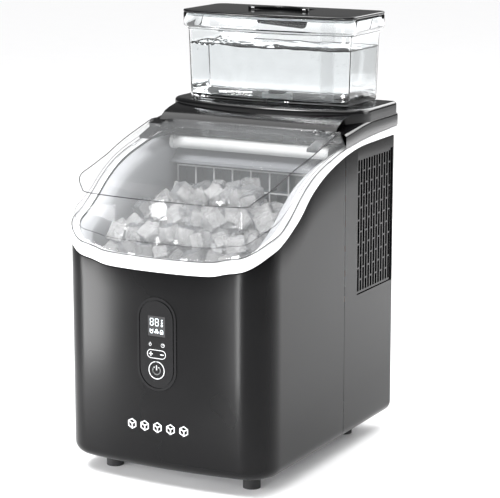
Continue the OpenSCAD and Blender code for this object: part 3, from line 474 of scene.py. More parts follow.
def lit(name, colour, strength):
    """A lit segment behind a dark window."""
    mat, tree, shader = nodes_of(name)
    fine = speckle(tree, 500.0)
    tone = spread(tree, fine, shade(colour, 0.9), colour)
    tree.links.new(tone, shader.inputs["Base Color"])
    tree.links.new(tone, shader.inputs["Emission Color"])
    shader.inputs["Emission Strength"].default_value = strength
    return mat


class CasingSettings(bpy.types.PropertyGroup):
    """Sizes of the casing, belt and rear cover."""
    front_bow: bpy.props.FloatProperty(
        name="Front bow", description="How far the front face bows forward",
        default=0.011, min=0.002, max=0.02, unit="LENGTH")
    corner_radius: bpy.props.FloatProperty(
        name="Corner radius", description="Radius of the upright front corners",
        default=0.034, min=0.02, max=0.05, unit="LENGTH")
    rear_radius: bpy.props.FloatProperty(
        name="Rear radius", description="Radius of the upright rear corners",
        default=0.008, min=0.004, max=0.02, unit="LENGTH")
    base_radius: bpy.props.FloatProperty(
        name="Base radius", description="Radius along the lower edge",
        default=0.012, min=0.004, max=0.02, unit="LENGTH")
    wall: bpy.props.FloatProperty(
        name="Wall", description="Wall of the plastic shells",
        default=0.003, min=0.001, max=0.005, unit="LENGTH")
    belt_depth: bpy.props.FloatProperty(
        name="Belt depth", description="How deep the belt reaches inwards",
        default=0.0079, min=0.003, max=0.012, unit="LENGTH")
    plinth_bow: bpy.props.FloatProperty(
        name="Plinth bow", description="How far the front of the tank's platform bows forward",
        default=0.022, min=0.005, max=0.04, unit="LENGTH")


class LidSettings(bpy.types.PropertyGroup):
    """Sizes of the clear lid."""
    wall: bpy.props.FloatProperty(
        name="Wall", description="Thickness of the clear lid",
        default=0.0018, min=0.001, max=0.004, unit="LENGTH")
    step: bpy.props.FloatProperty(
        name="Step", description="How far the dome is set in above its skirt",
        default=0.0085, min=0.0, max=0.012, unit="LENGTH")
    skirt: bpy.props.FloatProperty(
        name="Skirt", description="Height over which the skirt flares out",
        default=0.026, min=0.01, max=0.04, unit="LENGTH")
    gap: bpy.props.FloatProperty(
        name="Gap", description="Air gap under the lid's edge",
        default=0.0012, min=0.0005, max=0.003, unit="LENGTH")
    brow: bpy.props.FloatProperty(
        name="Brow radius", description="Radius where the walls turn into the top",
        default=0.0022, min=0.001, max=0.015, unit="LENGTH")


class TankSettings(bpy.types.PropertyGroup):
    """Sizes of the water tank."""
    draft: bpy.props.FloatProperty(
        name="Draft", description="How far the walls lean out from the floor to the rim",
        default=0.0025, min=0.0, max=0.006, unit="LENGTH")
    rim: bpy.props.FloatProperty(
        name="Rim", description="How far the rim flares out",
        default=0.007, min=0.002, max=0.01, unit="LENGTH")
    rim_height: bpy.props.FloatProperty(
        name="Rim height", description="Height of the flared rim",
        default=0.017, min=0.008, max=0.03, unit="LENGTH")
    wall: bpy.props.FloatProperty(
        name="Wall", description="Wall of the tank",
        default=0.0024, min=0.001, max=0.004, unit="LENGTH")
    water_height: bpy.props.FloatProperty(
        name="Water height", description="Height of the water above the tank's floor",
        default=0.056, min=0.01, max=0.07, unit="LENGTH")
    bubbles: bpy.props.IntProperty(
        name="Bubbles", description="Number of air bubbles in the water",
        default=120, min=0, max=400)


class IceSettings(bpy.types.PropertyGroup):
    """The heap of ice in the basket."""
    cube: bpy.props.FloatProperty(
        name="Cube", description="Edge length of an ice cube",
        default=0.0185, min=0.012, max=0.025, unit="LENGTH")
    heap: bpy.props.FloatProperty(
        name="Heap", description="Height of the middle of the heap above the basket's edge",
        default=0.055, min=0.0, max=0.06, unit="LENGTH")
    seed: bpy.props.IntProperty(
        name="Seed", description="Which random heap is made", default=7, min=0)


class FinishSettings(bpy.types.PropertyGroup):
    """Colours of the plastics and metals."""
    casing: bpy.props.FloatVectorProperty(
        name="Casing", description="Colour of the satin shells",
        default=(0.004, 0.004, 0.0043), subtype="COLOR", min=0, max=1)
    cover: bpy.props.FloatVectorProperty(
        name="Cover", description="Colour of the glossy rear cover",
        default=(0.004, 0.004, 0.0045), subtype="COLOR", min=0, max=1)
    belt: bpy.props.FloatVectorProperty(
        name="Belt", description="Colour of the belt",
        default=(0.84, 0.85, 0.86), subtype="COLOR", min=0, max=1)
    tub: bpy.props.FloatVectorProperty(
        name="Tub", description="Colour of the ice chamber",
        default=(0.5, 0.51, 0.53), subtype="COLOR", min=0, max=1)
    glow: bpy.props.FloatVectorProperty(
        name="Display", description="Colour of the lit digits",
        default=(0.86, 0.95, 1.0), subtype="COLOR", min=0, max=1)


class StageSettings(bpy.types.PropertyGroup):
    """Floor and light."""
    floor: bpy.props.FloatProperty(
        name="Floor", description="Half width of the floor",
        default=12.0, min=1.0, max=20.0, unit="LENGTH")
    sky: bpy.props.FloatProperty(
        name="Sky", description="Strength of the all-round light",
        default=0.16, min=0.0, max=4.0)


def settings(name):
    return getattr(bpy.context.scene, name)


def body_outline():
    s = settings("ice_casing")
    return Outline(2 * HALF_W, FRONT_Y, BACK_Y, s.front_bow, s.corner_radius, s.rear_radius)


def top_outline():
    s = settings("ice_casing")
    return Outline(2 * HALF_W, FRONT_Y, TOP_BACK_Y, s.front_bow, s.corner_radius, 5 * MM)


def tank_outline():
    rim = settings("ice_tank").rim
    width = (tank_hi.x - tank_lo.x) - 2 * rim
    return Outline(width, tank_lo.y + rim, tank_hi.y - rim, 9 * MM, 5 * MM, 5 * MM)


made = {}


def finishes():
    """All the finishes, made once."""
    if made:
        return made
    s = settings("ice_finish")
    # Key, material name, colour, roughness, fineness and depth of the grain, drift of the colour, more
    plain = (
        ("casing", "satin_casing", s.casing, 0.22, 1400, 0.03, 0.2, {"specular": 0.13}),
        ("cover", "gloss_cover", s.cover, 0.18, 400, 0.02, 0.2,
         {"coat": 0.15, "coat_rough": 0.05, "specular": 0.35}),
        ("belt", "white_belt_gloss", s.belt, 0.22, 500, 0.02, 0.02, {}),
        ("tub", "grey_tub", s.tub, 0.34, 700, 0.05, 0.05, {}),
        ("bezel", "bezel_black", (0.004, 0.004, 0.0045), 0.26, 800, 0.03, 0.2, {"specular": 0.2}),
        ("window", "window_gloss", (0.002, 0.002, 0.003), 0.06, 300, 0.0, 0.2,
         {"coat": 1.0, "coat_rough": 0.02}),
        ("rubber", "foot_rubber", (0.015, 0.015, 0.016), 0.7, 600, 0.2, 0.2, {}),
        ("steel", "zinc_steel", (0.5, 0.5, 0.51), 0.32, 900, 0.06, 0.1, {"metal": 1.0}),
        ("copper", "copper_tube", (0.72, 0.34, 0.2), 0.3, 500, 0.05, 0.15, {"metal": 1.0}),
        ("fins", "fin_aluminium", (0.68, 0.69, 0.71), 0.35, 700, 0.05, 0.08, {"metal": 1.0}),
        ("part_white", "part_white", (0.75, 0.76, 0.76), 0.4, 600, 0.06, 0.04, {}),
        ("guide", "guide_grey", (0.30, 0.31, 0.33), 0.4, 600, 0.06, 0.06, {}),
        ("part_black", "part_black", (0.02, 0.02, 0.022), 0.45, 700, 0.08, 0.15, {}),
        ("hose", "hose_milky", (0.62, 0.66, 0.68), 0.35, 300, 0.03, 0.05, {}),
        ("can", "compressor_enamel", (0.01, 0.01, 0.011), 0.25, 300, 0.1, 0.2, {}),
        ("board", "circuit_green", (0.02, 0.13, 0.05), 0.45, 260, 0.2, 0.3, {}),
        ("print", "badge_print", (0.82, 0.83, 0.84), 0.35, 500, 0.02, 0.03, {}),
        ("mark", "pale_marking", (0.55, 0.56, 0.57), 0.4, 500, 0.02, 0.03, {}),
        ("pads", "soft_pads", (0.72, 0.73, 0.74), 0.5, 500, 0.05, 0.04, {}),
        ("seal_white", "seal_silicone", (0.7, 0.72, 0.73), 0.5, 400, 0.08, 0.04, {}),
        ("valve_seal_dark", "valve_seal", (0.05, 0.05, 0.055), 0.4, 500, 0.05, 0.1, {}),
        # The next row colours thin dark tubes: painted shade lines on the clear lid and tank and at the
        # water's edge
        ("line", "painted_dark_edge", (0.02, 0.02, 0.022), 0.3, 400, 0.02, 0.2, {"specular": 0.2}),
    )
    for key, name, colour, rough, grain, depth, vary, more in plain:
        made[key] = moulded(name, colour, rough, grain, depth, vary, **more)
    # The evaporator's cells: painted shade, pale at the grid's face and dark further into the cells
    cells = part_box("evaporator_grid")
    made["cells"] = deep("cell_metal_painted_shade", (0.85, 0.86, 0.87), (0.16, 0.19, 0.20), cells[0].y + 0.2 * MM,
                         cells[0].y + 6 * MM, 0.3, 0.3)
    made["clear"] = film("clear_lid", (0.5, 0.51, 0.52), (0.03, 0.03, 0.035), 0.09, 0.6)
    made["tank"] = see_through("clear_tank", (0.96, 0.975, 0.98), 1.45)
    made["basket"] = film("basket_clear", (0.7, 0.72, 0.74), (0.2, 0.21, 0.22), 0.05, 0.5, 0.06)
    made["water"] = see_through("still_water", (0.97, 0.985, 0.99), 1.33)
    made["bubble"] = see_through("air_bubble", (1.0, 1.0, 1.0), 1.02)
    made["ice"] = see_through("clear_ice", (1.0, 1.0, 1.0), 1.31, 0.0, 0.04, 160, 0.02, 0.77,
                              (0.2, 0.22, 0.24))
    made["milky"] = film("milky_pipe", (0.8, 0.82, 0.84), (0.25, 0.26, 0.28), 0.08, 0.35, 0.1)
    made["glow"] = lit("display_light", s.glow, 0.75)
    return made


# Which finish each piece of the frame wears when it is shown
NODE_FINISH = {
    "casing": ("front_shell", "rear_shell", "grille_right", "grille_left", "cord_gland"),
    "cover": ("rear_cover", "tank_lid", "tank_handle", "lid_arms"),
    "belt": ("white_belt",),
    "tub": ("inner_tub", "valve_socket"),
    "bezel": ("control_bezel", "power_key", "rocker_key"),
    "window": ("display_window",),
    "rubber": ("feet", "compressor_grommets", "drain_plug"),
    "steel": ("foot_screws", "hinge_pins", "rear_screws", "rocker_pin", "handle_pins", "base_pan"),
    "copper": ("evaporator_coil", "condenser_coil", "refrigerant_pipes", "filter_drier"),
    "fins": ("condenser_fins", "fan_motor"),
    "cells": ("evaporator_grid",),
    "part_white": ("water_distributor", "float_stem", "valve_body", "drain_spout", "level_float"),
    "guide": ("ice_guide",),
    "part_black": ("water_pump", "ice_full_sensors", "fan_shroud", "fan_rotor"),
    "hose": ("riser_hose", "fill_hose"),
    "can": ("compressor",),
    "board": ("power_board", "control_board"),
    "print": ("front_badge",),
    "pads": ("lid_pads",),
    "seal_white": ("tank_lid_seal",),
    "valve_seal_dark": ("valve_plunger",),
    "clear": ("lid_window",),
    "tank": ("water_tank",),
    "basket": ("ice_basket",),
    "milky": ("standpipe",),
}


class ICE_OT_finish_frame(bpy.types.Operator):
    """Gives every piece of the frame its finish"""
    bl_idname = "ice.finish_frame"
    bl_label = "Finish the frame"

    def execute(self, context):
        every = finishes()
        for finish, names in NODE_FINISH.items():
            for name in names:
                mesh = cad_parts[name].data
                mesh.materials.clear()
                mesh.materials.append(every[finish])
        return {"FINISHED"}


# ---- casing -------------------------------------------------------------------------------------
def shell_rings(way, s):
    """Rings up a shell's outer face, over its top edge and a little way down inside."""
    outline = body_outline()
    base, r, top = shell_lo.z, s.base_radius, 1.0 * MM

    def ring(inset, height):
        return [(x, y, height(y)) for x, y in way(outline, inset)]

    rings = [ring(r + 4 * MM, lambda y: base)]
    for a in quarter(6):
        rings.append(ring(r * (1 - math.sin(a)), lambda y, a=a: base + r * (1 - math.cos(a))))
    for k in range(1, 9):
        rings.append(ring(0, lambda y, k=k: base + r + (low_z(y) - top - base - r) * k / 8))
    for a in quarter(3, 1):
        rings.append(ring(top * (1 - math.cos(a)), lambda y, a=a: low_z(y) - top * (1 - math.sin(a))))
    return rings + [ring(s.wall, low_z), ring(s.wall, lambda y: low_z(y) - 14 * MM)]


class ICE_OT_front_shell(bpy.types.Operator):
    """Builds the satin front shell with its bowed face and rounded base"""
    bl_idname = "ice.front_shell"
    bl_label = "Front shell"

    def execute(self, context):
        s = settings("ice_casing")
        end = SEAM_Y - FIT
        verts, faces = loft(shell_rings(lambda o, inset: o.open(inset, end, 40), s))
        obj = make("front_shell_skin", verts, faces, "casing", "base",
                   "casing_black", ("front_shell",), 50)
        side = pill(bezel_hi.x * 2 - 5 * MM + 0.6 * MM, 96.6 * MM, 0, panel_z())
        cut(obj, *upright(side, FRONT_Y - 8 * MM, FRONT_Y + 20 * MM))
        return {"FINISHED"}


class ICE_OT_rear_shell(bpy.types.Operator):
    """Builds the rear shell with its two grille openings"""
    bl_idname = "ice.rear_shell"
    bl_label = "Rear shell"

    def execute(self, context):
        s = settings("ice_casing")
        start = SEAM_Y + FIT
        verts, faces = loft(shell_rings(lambda o, inset: o.rear(inset, start), s))
        obj = make("rear_shell_skin", verts, faces, "casing", "base",
                   "casing_black", ("rear_shell",), 50)
        for node, side in (("grille_right", 1), ("grille_left", -1)):
            lo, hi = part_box(node)
            x0, x1 = sorted((side * (HALF_W - 10 * MM), side * (HALF_W + 10 * MM)))
            cut(obj, *block((x0, lo.y + 2.5 * MM, lo.z + 3 * MM), (x1, hi.y - 0.5 * MM, hi.z - 3 * MM)))
        return {"FINISHED"}


class ICE_OT_belt(bpy.types.Operator):
    """Builds the white belt that sweeps from the front up to the back"""
    bl_idname = "ice.belt"
    bl_label = "Belt"

    def execute(self, context):
        s = settings("ice_casing")
        outline = top_outline()
        proud = -0.8 * MM
        r = 1.6 * MM
        profile = [(s.belt_depth, 0, FIT), (proud + r, 0, FIT)]
        for a in quarter(4, 1):
            profile.append((proud + r - r * math.sin(a), 0, FIT + r - r * math.cos(a)))
        profile.append((proud, 0.5, 0))
        for a in quarter(4):
            profile.append((proud + r - r * math.cos(a), 1, -r + r * math.sin(a)))
        profile.append((s.belt_depth, 1, 0))
        rings = []
        for inset, share, lift in profile:
            rings.append([(x, y, low_z(edge) + (high_z(edge) - low_z(edge)) * share + lift)
                          for (x, y), (_, edge) in zip(outline.closed(inset, 60), outline.closed(0, 60))])
        verts, faces = loft(rings, closed=True)
        make("belt_band", verts, faces, "belt", "base", "belt_white", ("white_belt",), 60)
        return {"FINISHED"}


def round_hole(way, cy, r, z):
    """A way's points drawn in to a circle around x = 0 and y = cy."""
    ring = []
    for x, y in way:
        out = Vector((x, y - cy)).normalized()
        ring.append((out.x * r, cy + out.y * r, z))
    return ring


class ICE_OT_cover(bpy.types.Operator):
    """Builds the glossy rear cover and the platform that carries the tank"""
    bl_idname = "ice.cover"
    bl_label = "Rear cover"

    def execute(self, context):
        s = settings("ice_casing")
        outline = top_outline()
        start = HINGE_Y + 8.5 * MM
        shoulder = ((0, -3.2), (16, -1.2), (40, 2.4), (64, 4.6), (160, 4.8))
        ys = [start + a * MM for a, _ in shoulder]
        zs = [LID_REAR_Z + b * MM for _, b in shoulder]

        def top(y):
            return float(np.interp(y, ys, zs))

        rings = []
        for inset, share, lift in ((1.0, 0, 0.3), (0.2, 0, 0.9), (0, 0, 1.6), (0, 0.5, 0), (0, 1, -3.0),
                                   (0.25, 1, -1.8), (0.9, 1, -0.9), (1.8, 1, -0.25), (3.0, 1, 0),
                                   (9.0, 1, 0.1), (20.0, 1, 0.1)):
            rings.append([(x, y, high_z(y) + (top(y) - high_z(y)) * share + lift * MM)
                          for x, y in outline.rear(inset * MM, start, 60)])
        side = loft(rings)
        make("cover_side", *side, "cover", "base", "cover_gloss", ("rear_cover",), 60)

        platform = cover_hi.z
        width = 2 * HALF_W - 1 * MM
        plinth = Outline(width, PLINTH_FRONT_Y, TOP_BACK_Y - 2 * MM, s.plinth_bow, PLINTH_CORNER_R,
                         6 * MM)
        rings = []
        r = 4.0 * MM
        base = LID_REAR_Z - 6 * MM
        for k in range(5):
            rings.append([(x, y, base + (platform - r - base) * k / 4) for x, y in plinth.closed(0)])
        for a in quarter(6, 1):
            rings.append([(x, y, platform - r + r * math.sin(a))
                          for x, y in plinth.closed(r * (1 - math.cos(a)))])
        for inset in (9, 16, 30, 42):
            rings.append([(x, y, platform) for x, y in plinth.closed(inset * MM)])
        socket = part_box("valve_socket")
        centre_y = (socket[0].y + socket[1].y) / 2
        for z in (platform, platform - 12 * MM):
            rings.append(round_hole(plinth.closed(42 * MM), centre_y, 17.2 * MM, z))
        make("platform", *loft(rings, closed=True), "cover", "base", "cover_gloss", (), 60)

        front = []
        for i, (back, z) in enumerate(((0, -9), (0, -2.4), (0.6, -1.2), (2.4, 0.6), (5, 3.2), (11, 6.6),
                                       (20, 9.4), (36, 12.5), (50, 13))):
            half = PLINTH_RAMP_HALF - (3 * MM if i < 2 else 0)
            front.append([(half * (j / 24 * 2 - 1), start + back * MM, LID_REAR_Z + z * MM)
                          for j in range(25)])
        make("platform_ramp", *loft(front), "cover", "base", "cover_gloss", (), 60)
        return {"FINISHED"}


def panel_z():
    return (display_lo.z + display_hi.z) / 2 - 18.5 * MM


# ---- lid ----------------------------------------------------------------------------------------
# How many steps the lid's sides, corners and half its front are made of
LID_STEPS = (60, 12, 30)


class ICE_OT_lid(bpy.types.Operator):
    """Builds the clear lid: a flared skirt, a dome set in above it and a gently rising top"""
    bl_idname = "ice.lid"
    bl_label = "Clear lid"

    def execute(self, context):
        s = settings("ice_lid")
        outline = body_outline()
        end = HINGE_Y + 6.5 * MM

        def wall(y):
            return lid_z(y) - high_z(y) - s.gap

        def brow(y):
            return min(s.brow, 0.45 * wall(y))

        def step(y, up):
            return s.step * ease(up / s.skirt)

        def ring(place):
            """One ring of the dome, from a function that gives each point's inset and height."""
            way = outline.open(0, end, *LID_STEPS)
            return self.inset_ring(outline, end, [(i, *place(y)) for i, (_, y) in enumerate(way)])

        def on_wall(y, share):
            up = (wall(y) - brow(y)) * share
            return step(y, up), high_z(y) + s.gap + up

        def on_brow(y, a):
            r = brow(y)
            up = wall(y) - r
            return step(y, up) + r * (1 - math.cos(a)), high_z(y) + s.gap + up + r * math.sin(a)

        levels = 12
        rings = [ring(lambda y, k=k: on_wall(y, k / levels)) for k in range(levels + 1)]
        rings += [ring(lambda y, a=a: on_brow(y, a)) for a in quarter(5, 1)]
        edge = rings[-1]
        for share in (0.08, 0.18, 0.3, 0.45, 0.6, 0.75, 0.9, 1.0):
            flat = [(x * (1 - share), y + (max(y, -0.02) - y) * share) for x, y, _ in edge]
            rings.append([(x, y, lid_z(y)) for x, y in flat])
        verts, faces = loft(rings)
        obj = make("lid_clear", verts, faces, "clear", "lid", "lid_clear",
                   ("lid_window",), 60, weld=2e-5)
        thicken(obj, s.wall)
        bake_modifiers(obj)
        # Thin dark tubes: painted shade along the brow and the skirt, and a painted shadow along the lid's
        # lower edge
        lines = [tube_along(rings[levels + 1], 0.5 * MM), tube_along(rings[0], 0.45 * MM),
                 tube_along(rings[3], 0.25 * MM)]
        make("lid_painted_shade_lines", *join(lines), "line", "lid", None, (), 60, weld=1e-9)
        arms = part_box("lid_arms")
        for side in (-1, 1):
            mid = side * (arms[1].x - 6 * MM)
            for half, ahead, behind in ((12.2 * MM, 5.8 * MM, 0.03), (6.3 * MM, 12.4 * MM, 0)):
                cut(obj, *block((mid - half, HINGE_Y - ahead, 0.2),
                                (mid + half, HINGE_Y + behind, 0.5)))
        return {"FINISHED"}

    @staticmethod
    def inset_ring(outline, end, ring):
        """Each point moved inwards by its own amount, at its own height."""
        ways = {}
        moved = []
        for i, inset, z in ring:
            key = round(inset, 6)
            if key not in ways:
                ways[key] = outline.open(inset, end, *LID_STEPS)
            moved.append((*ways[key][i], z))
        return moved


class ICE_OT_hinges(bpy.types.Operator):
    """Builds the rounded lugs that hold the lid's hinge pins"""
    bl_idname = "ice.hinges"
    bl_label = "Hinge lugs"

    def execute(self, context):
        parts = []
        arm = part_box("lid_arms")
        middle, r = arm[1].x - 6 * MM, 5.2 * MM
        back = HINGE_Y + 9.5 * MM
        for side in (-1, 1):
            for d in (-9 * MM, 9 * MM):
                x = side * middle + d
                round_front = [(HINGE_Y - r * math.sin(a), HINGE_Z + r * math.cos(a))
                               for a in (math.pi * i / 16 for i in range(17))]
                outline = round_front + [(back, HINGE_Z - r), (back, HINGE_Z + r)]
                verts, faces = upright(outline, x - 2.4 * MM, x + 2.4 * MM)
                verts = [(across, y, z) for y, across, z in verts]
                parts.append((verts, faces))
        obj = make("hinge_lugs", *join(parts), "cover", "base", "cover_gloss", (), 40)
        soften(obj, 0.6 * MM, 3)
        return {"FINISHED"}


# ---- ice chamber --------------------------------------------------------------------------------
class ICE_OT_tub(bpy.types.Operator):
    """Builds the grey ice chamber with its sloping rim"""
    bl_idname = "ice.tub"
    bl_label = "Ice chamber"

    def execute(self, context):
        inset, wall = 22 * MM, 2.4 * MM
        outline = Outline(2 * HALF_W, FRONT_Y, TUB_BACK_Y + inset, 11 * MM, 34 * MM, inset + 3 * MM)
        floor = tub_lo.z + 2.5 * MM

        def rim(y, drop):
            return high_z(min(y, HINGE_Y)) - drop * MM

        def ring(out, height):
            steps = (50, 10, 20)
            return [(x, min(y, TUB_BACK_Y + wall), height(edge))
                    for (x, y), (_, edge) in zip(outline.closed(out, *steps), outline.closed(0, *steps))]

        rings = [ring(40 * MM, lambda y: floor - wall), ring(inset + 6 * MM, lambda y: floor - wall),
                 ring(inset - wall, lambda y: floor + 3 * MM)]
        for out, drop in ((19.6, 16), (17, 9), (8.6, 4.2), (8.3, 2.6), (9.2, 1.8), (13, 3.0), (17, 5.2),
                          (20, 8.5), (21.6, 12.5), (22, 18)):
            rings.append(ring(out * MM, lambda y, drop=drop: rim(y, drop)))
        for k in range(1, 5):
            rings.append(ring(inset, lambda y, k=k: rim(y, 18) + (floor + 8 * MM - rim(y, 18)) * k / 4))
        for out, up in ((2.5, 2.5), (8, 0), (18, 0)):
            rings.append(ring(inset + out * MM, lambda y, up=up: floor + up * MM))
        rings += [[(x * f, (y + 0.035) * f - 0.035, z) for x, y, z in rings[-1]] for f in (0.6, 0.2, 0.02)]
        verts, faces = loft(rings, closed=True)
        make("tub_liner", verts, faces, "tub", "base", "tub_grey", ("inner_tub",), 50)
        return {"FINISHED"}


def cube_mesh(size, rng, shift):
    """A rounded ice cube with slightly sunken faces, at the origin."""
    n, power = 5, 16.0
    verts, faces, seen = [], [], {}
    half = size / 2
    for axis in range(3):
        for sign in (-1, 1):
            grid = []
            for i in range(n + 1):
                row = []
                for j in range(n + 1):
                    a, b = i / n * 2 - 1, j / n * 2 - 1
                    p = [0.0, 0.0, 0.0]
                    p[axis], p[(axis + 1) % 3], p[(axis + 2) % 3] = sign, a, b
                    key = tuple(round(c, 4) for c in p)
                    if key not in seen:
                        seen[key] = len(verts)
                        verts.append(Vector(p))
                    row.append(seen[key])
                grid.append(row)
            for i in range(n):
                for j in range(n):
                    quad = (grid[i][j], grid[i + 1][j], grid[i + 1][j + 1], grid[i][j + 1])
                    faces.append(quad if sign > 0 else quad[::-1])
    squash = Vector([rng.uniform(0.86, 1.08) for _ in range(3)])
    shaped = []
    for v in verts:
        length = sum(abs(c) ** power for c in v) ** (1 / power)
        w = v / length
        most = max(abs(c) for c in v)
        inner = sum(1 for c in v if abs(c) < 0.7 * most)
        if inner == 2:
            w *= 0.95
        w = w + noise.noise_vector(v * 1.3 + Vector((shift, 0, 0))) * 0.025
        shaped.append(Vector((w.x * squash.x, w.y * squash.y, w.z * squash.z)) * half)
    return shaped, faces


class ICE_OT_ice(bpy.types.Operator):
    """Heaps clear ice cubes in the basket"""
    bl_idname = "ice.ice"
    bl_label = "Ice cubes"

    def execute(self, context):
        s = settings("ice_heap")
        rng = random.Random(s.seed)
        # The cubes' wobble needs its own seed, and 0 would mean the clock
        noise.seed_set(s.seed + 1)
        half_x = basket_hi.x - 3.5 * MM - s.cube * 0.5
        y0, y1 = basket_lo.y + 4.5 * MM + s.cube * 0.5, basket_hi.y - 2.5 * MM - s.cube * 0.5
        edge = basket_hi.z

        def surface(x, y):
            u, v = x / half_x, (y - y0) / (y1 - y0)
            hump = (1 - 0.4 * u * u) * (0.42 + 0.58 * ease(v * 1.5))
            return edge + s.heap * hump

        spots = []
        pitch, rise = s.cube * 1.02, s.cube * 0.86
        level = edge - 3.2 * rise
        k = 0
        while level < edge + s.heap:
            rows = int((y1 - y0) / (pitch * 0.9)) + 1
            for j in range(rows):
                cols = int(2 * half_x / pitch) + 1
                for i in range(cols):
                    x = -half_x + (i + 0.5 * ((j + k) % 2)) * pitch + rng.uniform(-1, 1) * 4 * MM
                    y = y0 + (j + 0.3 * (k % 2)) * pitch * 0.9 + rng.uniform(-1, 1) * 4 * MM
                    z = level + rng.uniform(-1, 1) * 4 * MM
                    corner = math.hypot(max(abs(x) - half_x + 14 * MM, 0), max(y0 + 14 * MM - y, 0))
                    if abs(x) <= half_x and y0 <= y <= y1 and corner < 14 * MM \
                            and z < surface(x, y) - 0.3 * s.cube:
                        spots.append([x, y, z])
            level += rise
            k += 1
        at = np.array(spots)
        reach = s.cube * 1.08
        for _ in range(40):
            gap = at[:, None, :] - at[None, :, :]
            far = np.sqrt((gap ** 2).sum(-1)) + 1e-9
            push = np.clip(reach - far, 0, None)
            np.fill_diagonal(push, 0)
            at += 0.2 * (gap / far[..., None] * push[..., None]).sum(1)
            at[:, 0] = np.clip(at[:, 0], -half_x, half_x)
            at[:, 1] = np.clip(at[:, 1], y0, y1)
            at[:, 2] = np.clip(at[:, 2], edge - 4 * rise, None)
        parts = []
        for x, y, z in at:
            z = min(z, surface(x, y) + 2 * MM)
            shift = rng.uniform(0, 50)
            verts, faces = cube_mesh(s.cube * rng.uniform(0.88, 1.06), rng, shift)
            turn = Matrix.Rotation(rng.uniform(0, 6.28), 3, "Z") @ Matrix.Rotation(
                rng.gauss(0, 0.55), 3, "X") @ Matrix.Rotation(rng.gauss(0, 0.55), 3, "Y")
            parts.append(([turn @ v + Vector((x, y, z)) for v in verts], faces))
        verts, faces = join(parts)
        make("ice_cubes", verts, faces, "ice", "basket", None, (), 32, weld=1e-9)
        return {"FINISHED"}


# ---- water tank ---------------------------------------------------------------------------------
# How many steps the tank's outline is made of, stretch by stretch
TANK_STEPS = (16, 10, 20, 8, 14)


def tank_inset(z, s):
    """How far the tank's outer wall stands in from its nominal outline at a height."""
    shelf = tank_hi.z - s.rim_height
    lean = s.draft * (0.4 - (z - tank_lo.z) / (shelf - tank_lo.z))
    flare = -s.rim * ease((z - shelf + 1.5 * MM) / (6 * MM))
    return lean * (1 - ease((z - shelf) / (4 * MM))) + flare


class ICE_OT_tank(bpy.types.Operator):
    """Builds the clear tank with leaning walls and a flared rim"""
    bl_idname = "ice.tank"
    bl_label = "Water tank"

    def execute(self, context):
        s = settings("ice_tank")
        outline = tank_outline()
        lo, hi = tank_lo.z, tank_hi.z
        shelf = hi - s.rim_height
        heights = [lo + 3 * MM + (shelf - lo - 5 * MM) * k / 5 for k in range(6)]
        heights += [shelf + d * MM for d in (-0.5, 0.6, 1.6, 2.6, 3.6, 5.0)] + [hi - 1.0 * MM]

        def ring(inset, z):
            return [(x, y, z) for x, y in outline.closed(inset, *TANK_STEPS)]

        floor = 3 * MM
        foot, top = tank_inset(lo, s), tank_inset(hi, s)
        rings = [ring(30 * MM, lo)]
        rings += [ring(foot + a * MM, lo + z * MM) for a, z in ((3, 0), (1.2, 0.6), (0.3, 1.6))]
        rings += [ring(tank_inset(z, s), z) for z in heights]
        rings += [ring(top + 0.4 * MM, hi), ring(top + s.wall - 0.4 * MM, hi)]
        rings += [ring(tank_inset(z, s) + s.wall, z) for z in reversed(heights[1:])]
        rings += [ring(foot + s.wall + a * MM, lo + floor + z * MM)
                  for a, z in ((0.4, 2.2), (2.2, 0.5), (5, 0))] + [ring(30 * MM, lo + floor)]
        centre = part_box("valve_body")
        cy = (centre[0].y + centre[1].y) / 2
        for z in (lo + floor, lo):
            rings.append(round_hole(outline.closed(30 * MM, *TANK_STEPS), cy, 13.9 * MM, z))
        rings.append(rings[0])
        make("tank_clear", *loft(rings, closed=True), "tank", "tank", "tank_clear",
             ("water_tank",), 50)
        # A thin dark tube along the shelf under the rim: a painted shade line where the clear wall turns
        # out
        edge = tube_along(ring(tank_inset(shelf, s), shelf), 0.3 * MM)
        make("tank_painted_shade_line", *edge, "line", "tank", None, (), 60, weld=1e-9)
        mark_z = tank_lo.z + 74 * MM
        parts = []
        for x in np.linspace(-54, -36, 7):
            y = outline_front(outline, x * MM, tank_inset(mark_z, s)) - 0.12 * MM
            parts.append(block(((x - 1.4) * MM, y - 0.1 * MM, mark_z),
                               ((x + 1.4) * MM, y + 0.1 * MM, mark_z + 0.6 * MM)))
        make("fill_mark", *join(parts), "guide", "tank", None, (), 30)
        return {"FINISHED"}


def outline_front(outline, x, inset):
    """Where an outline's bowed front lies at x."""
    big = (outline.half ** 2 + outline.bow ** 2) / (2 * outline.bow)
    return outline.front + big - math.sqrt((big - inset) ** 2 - x * x)


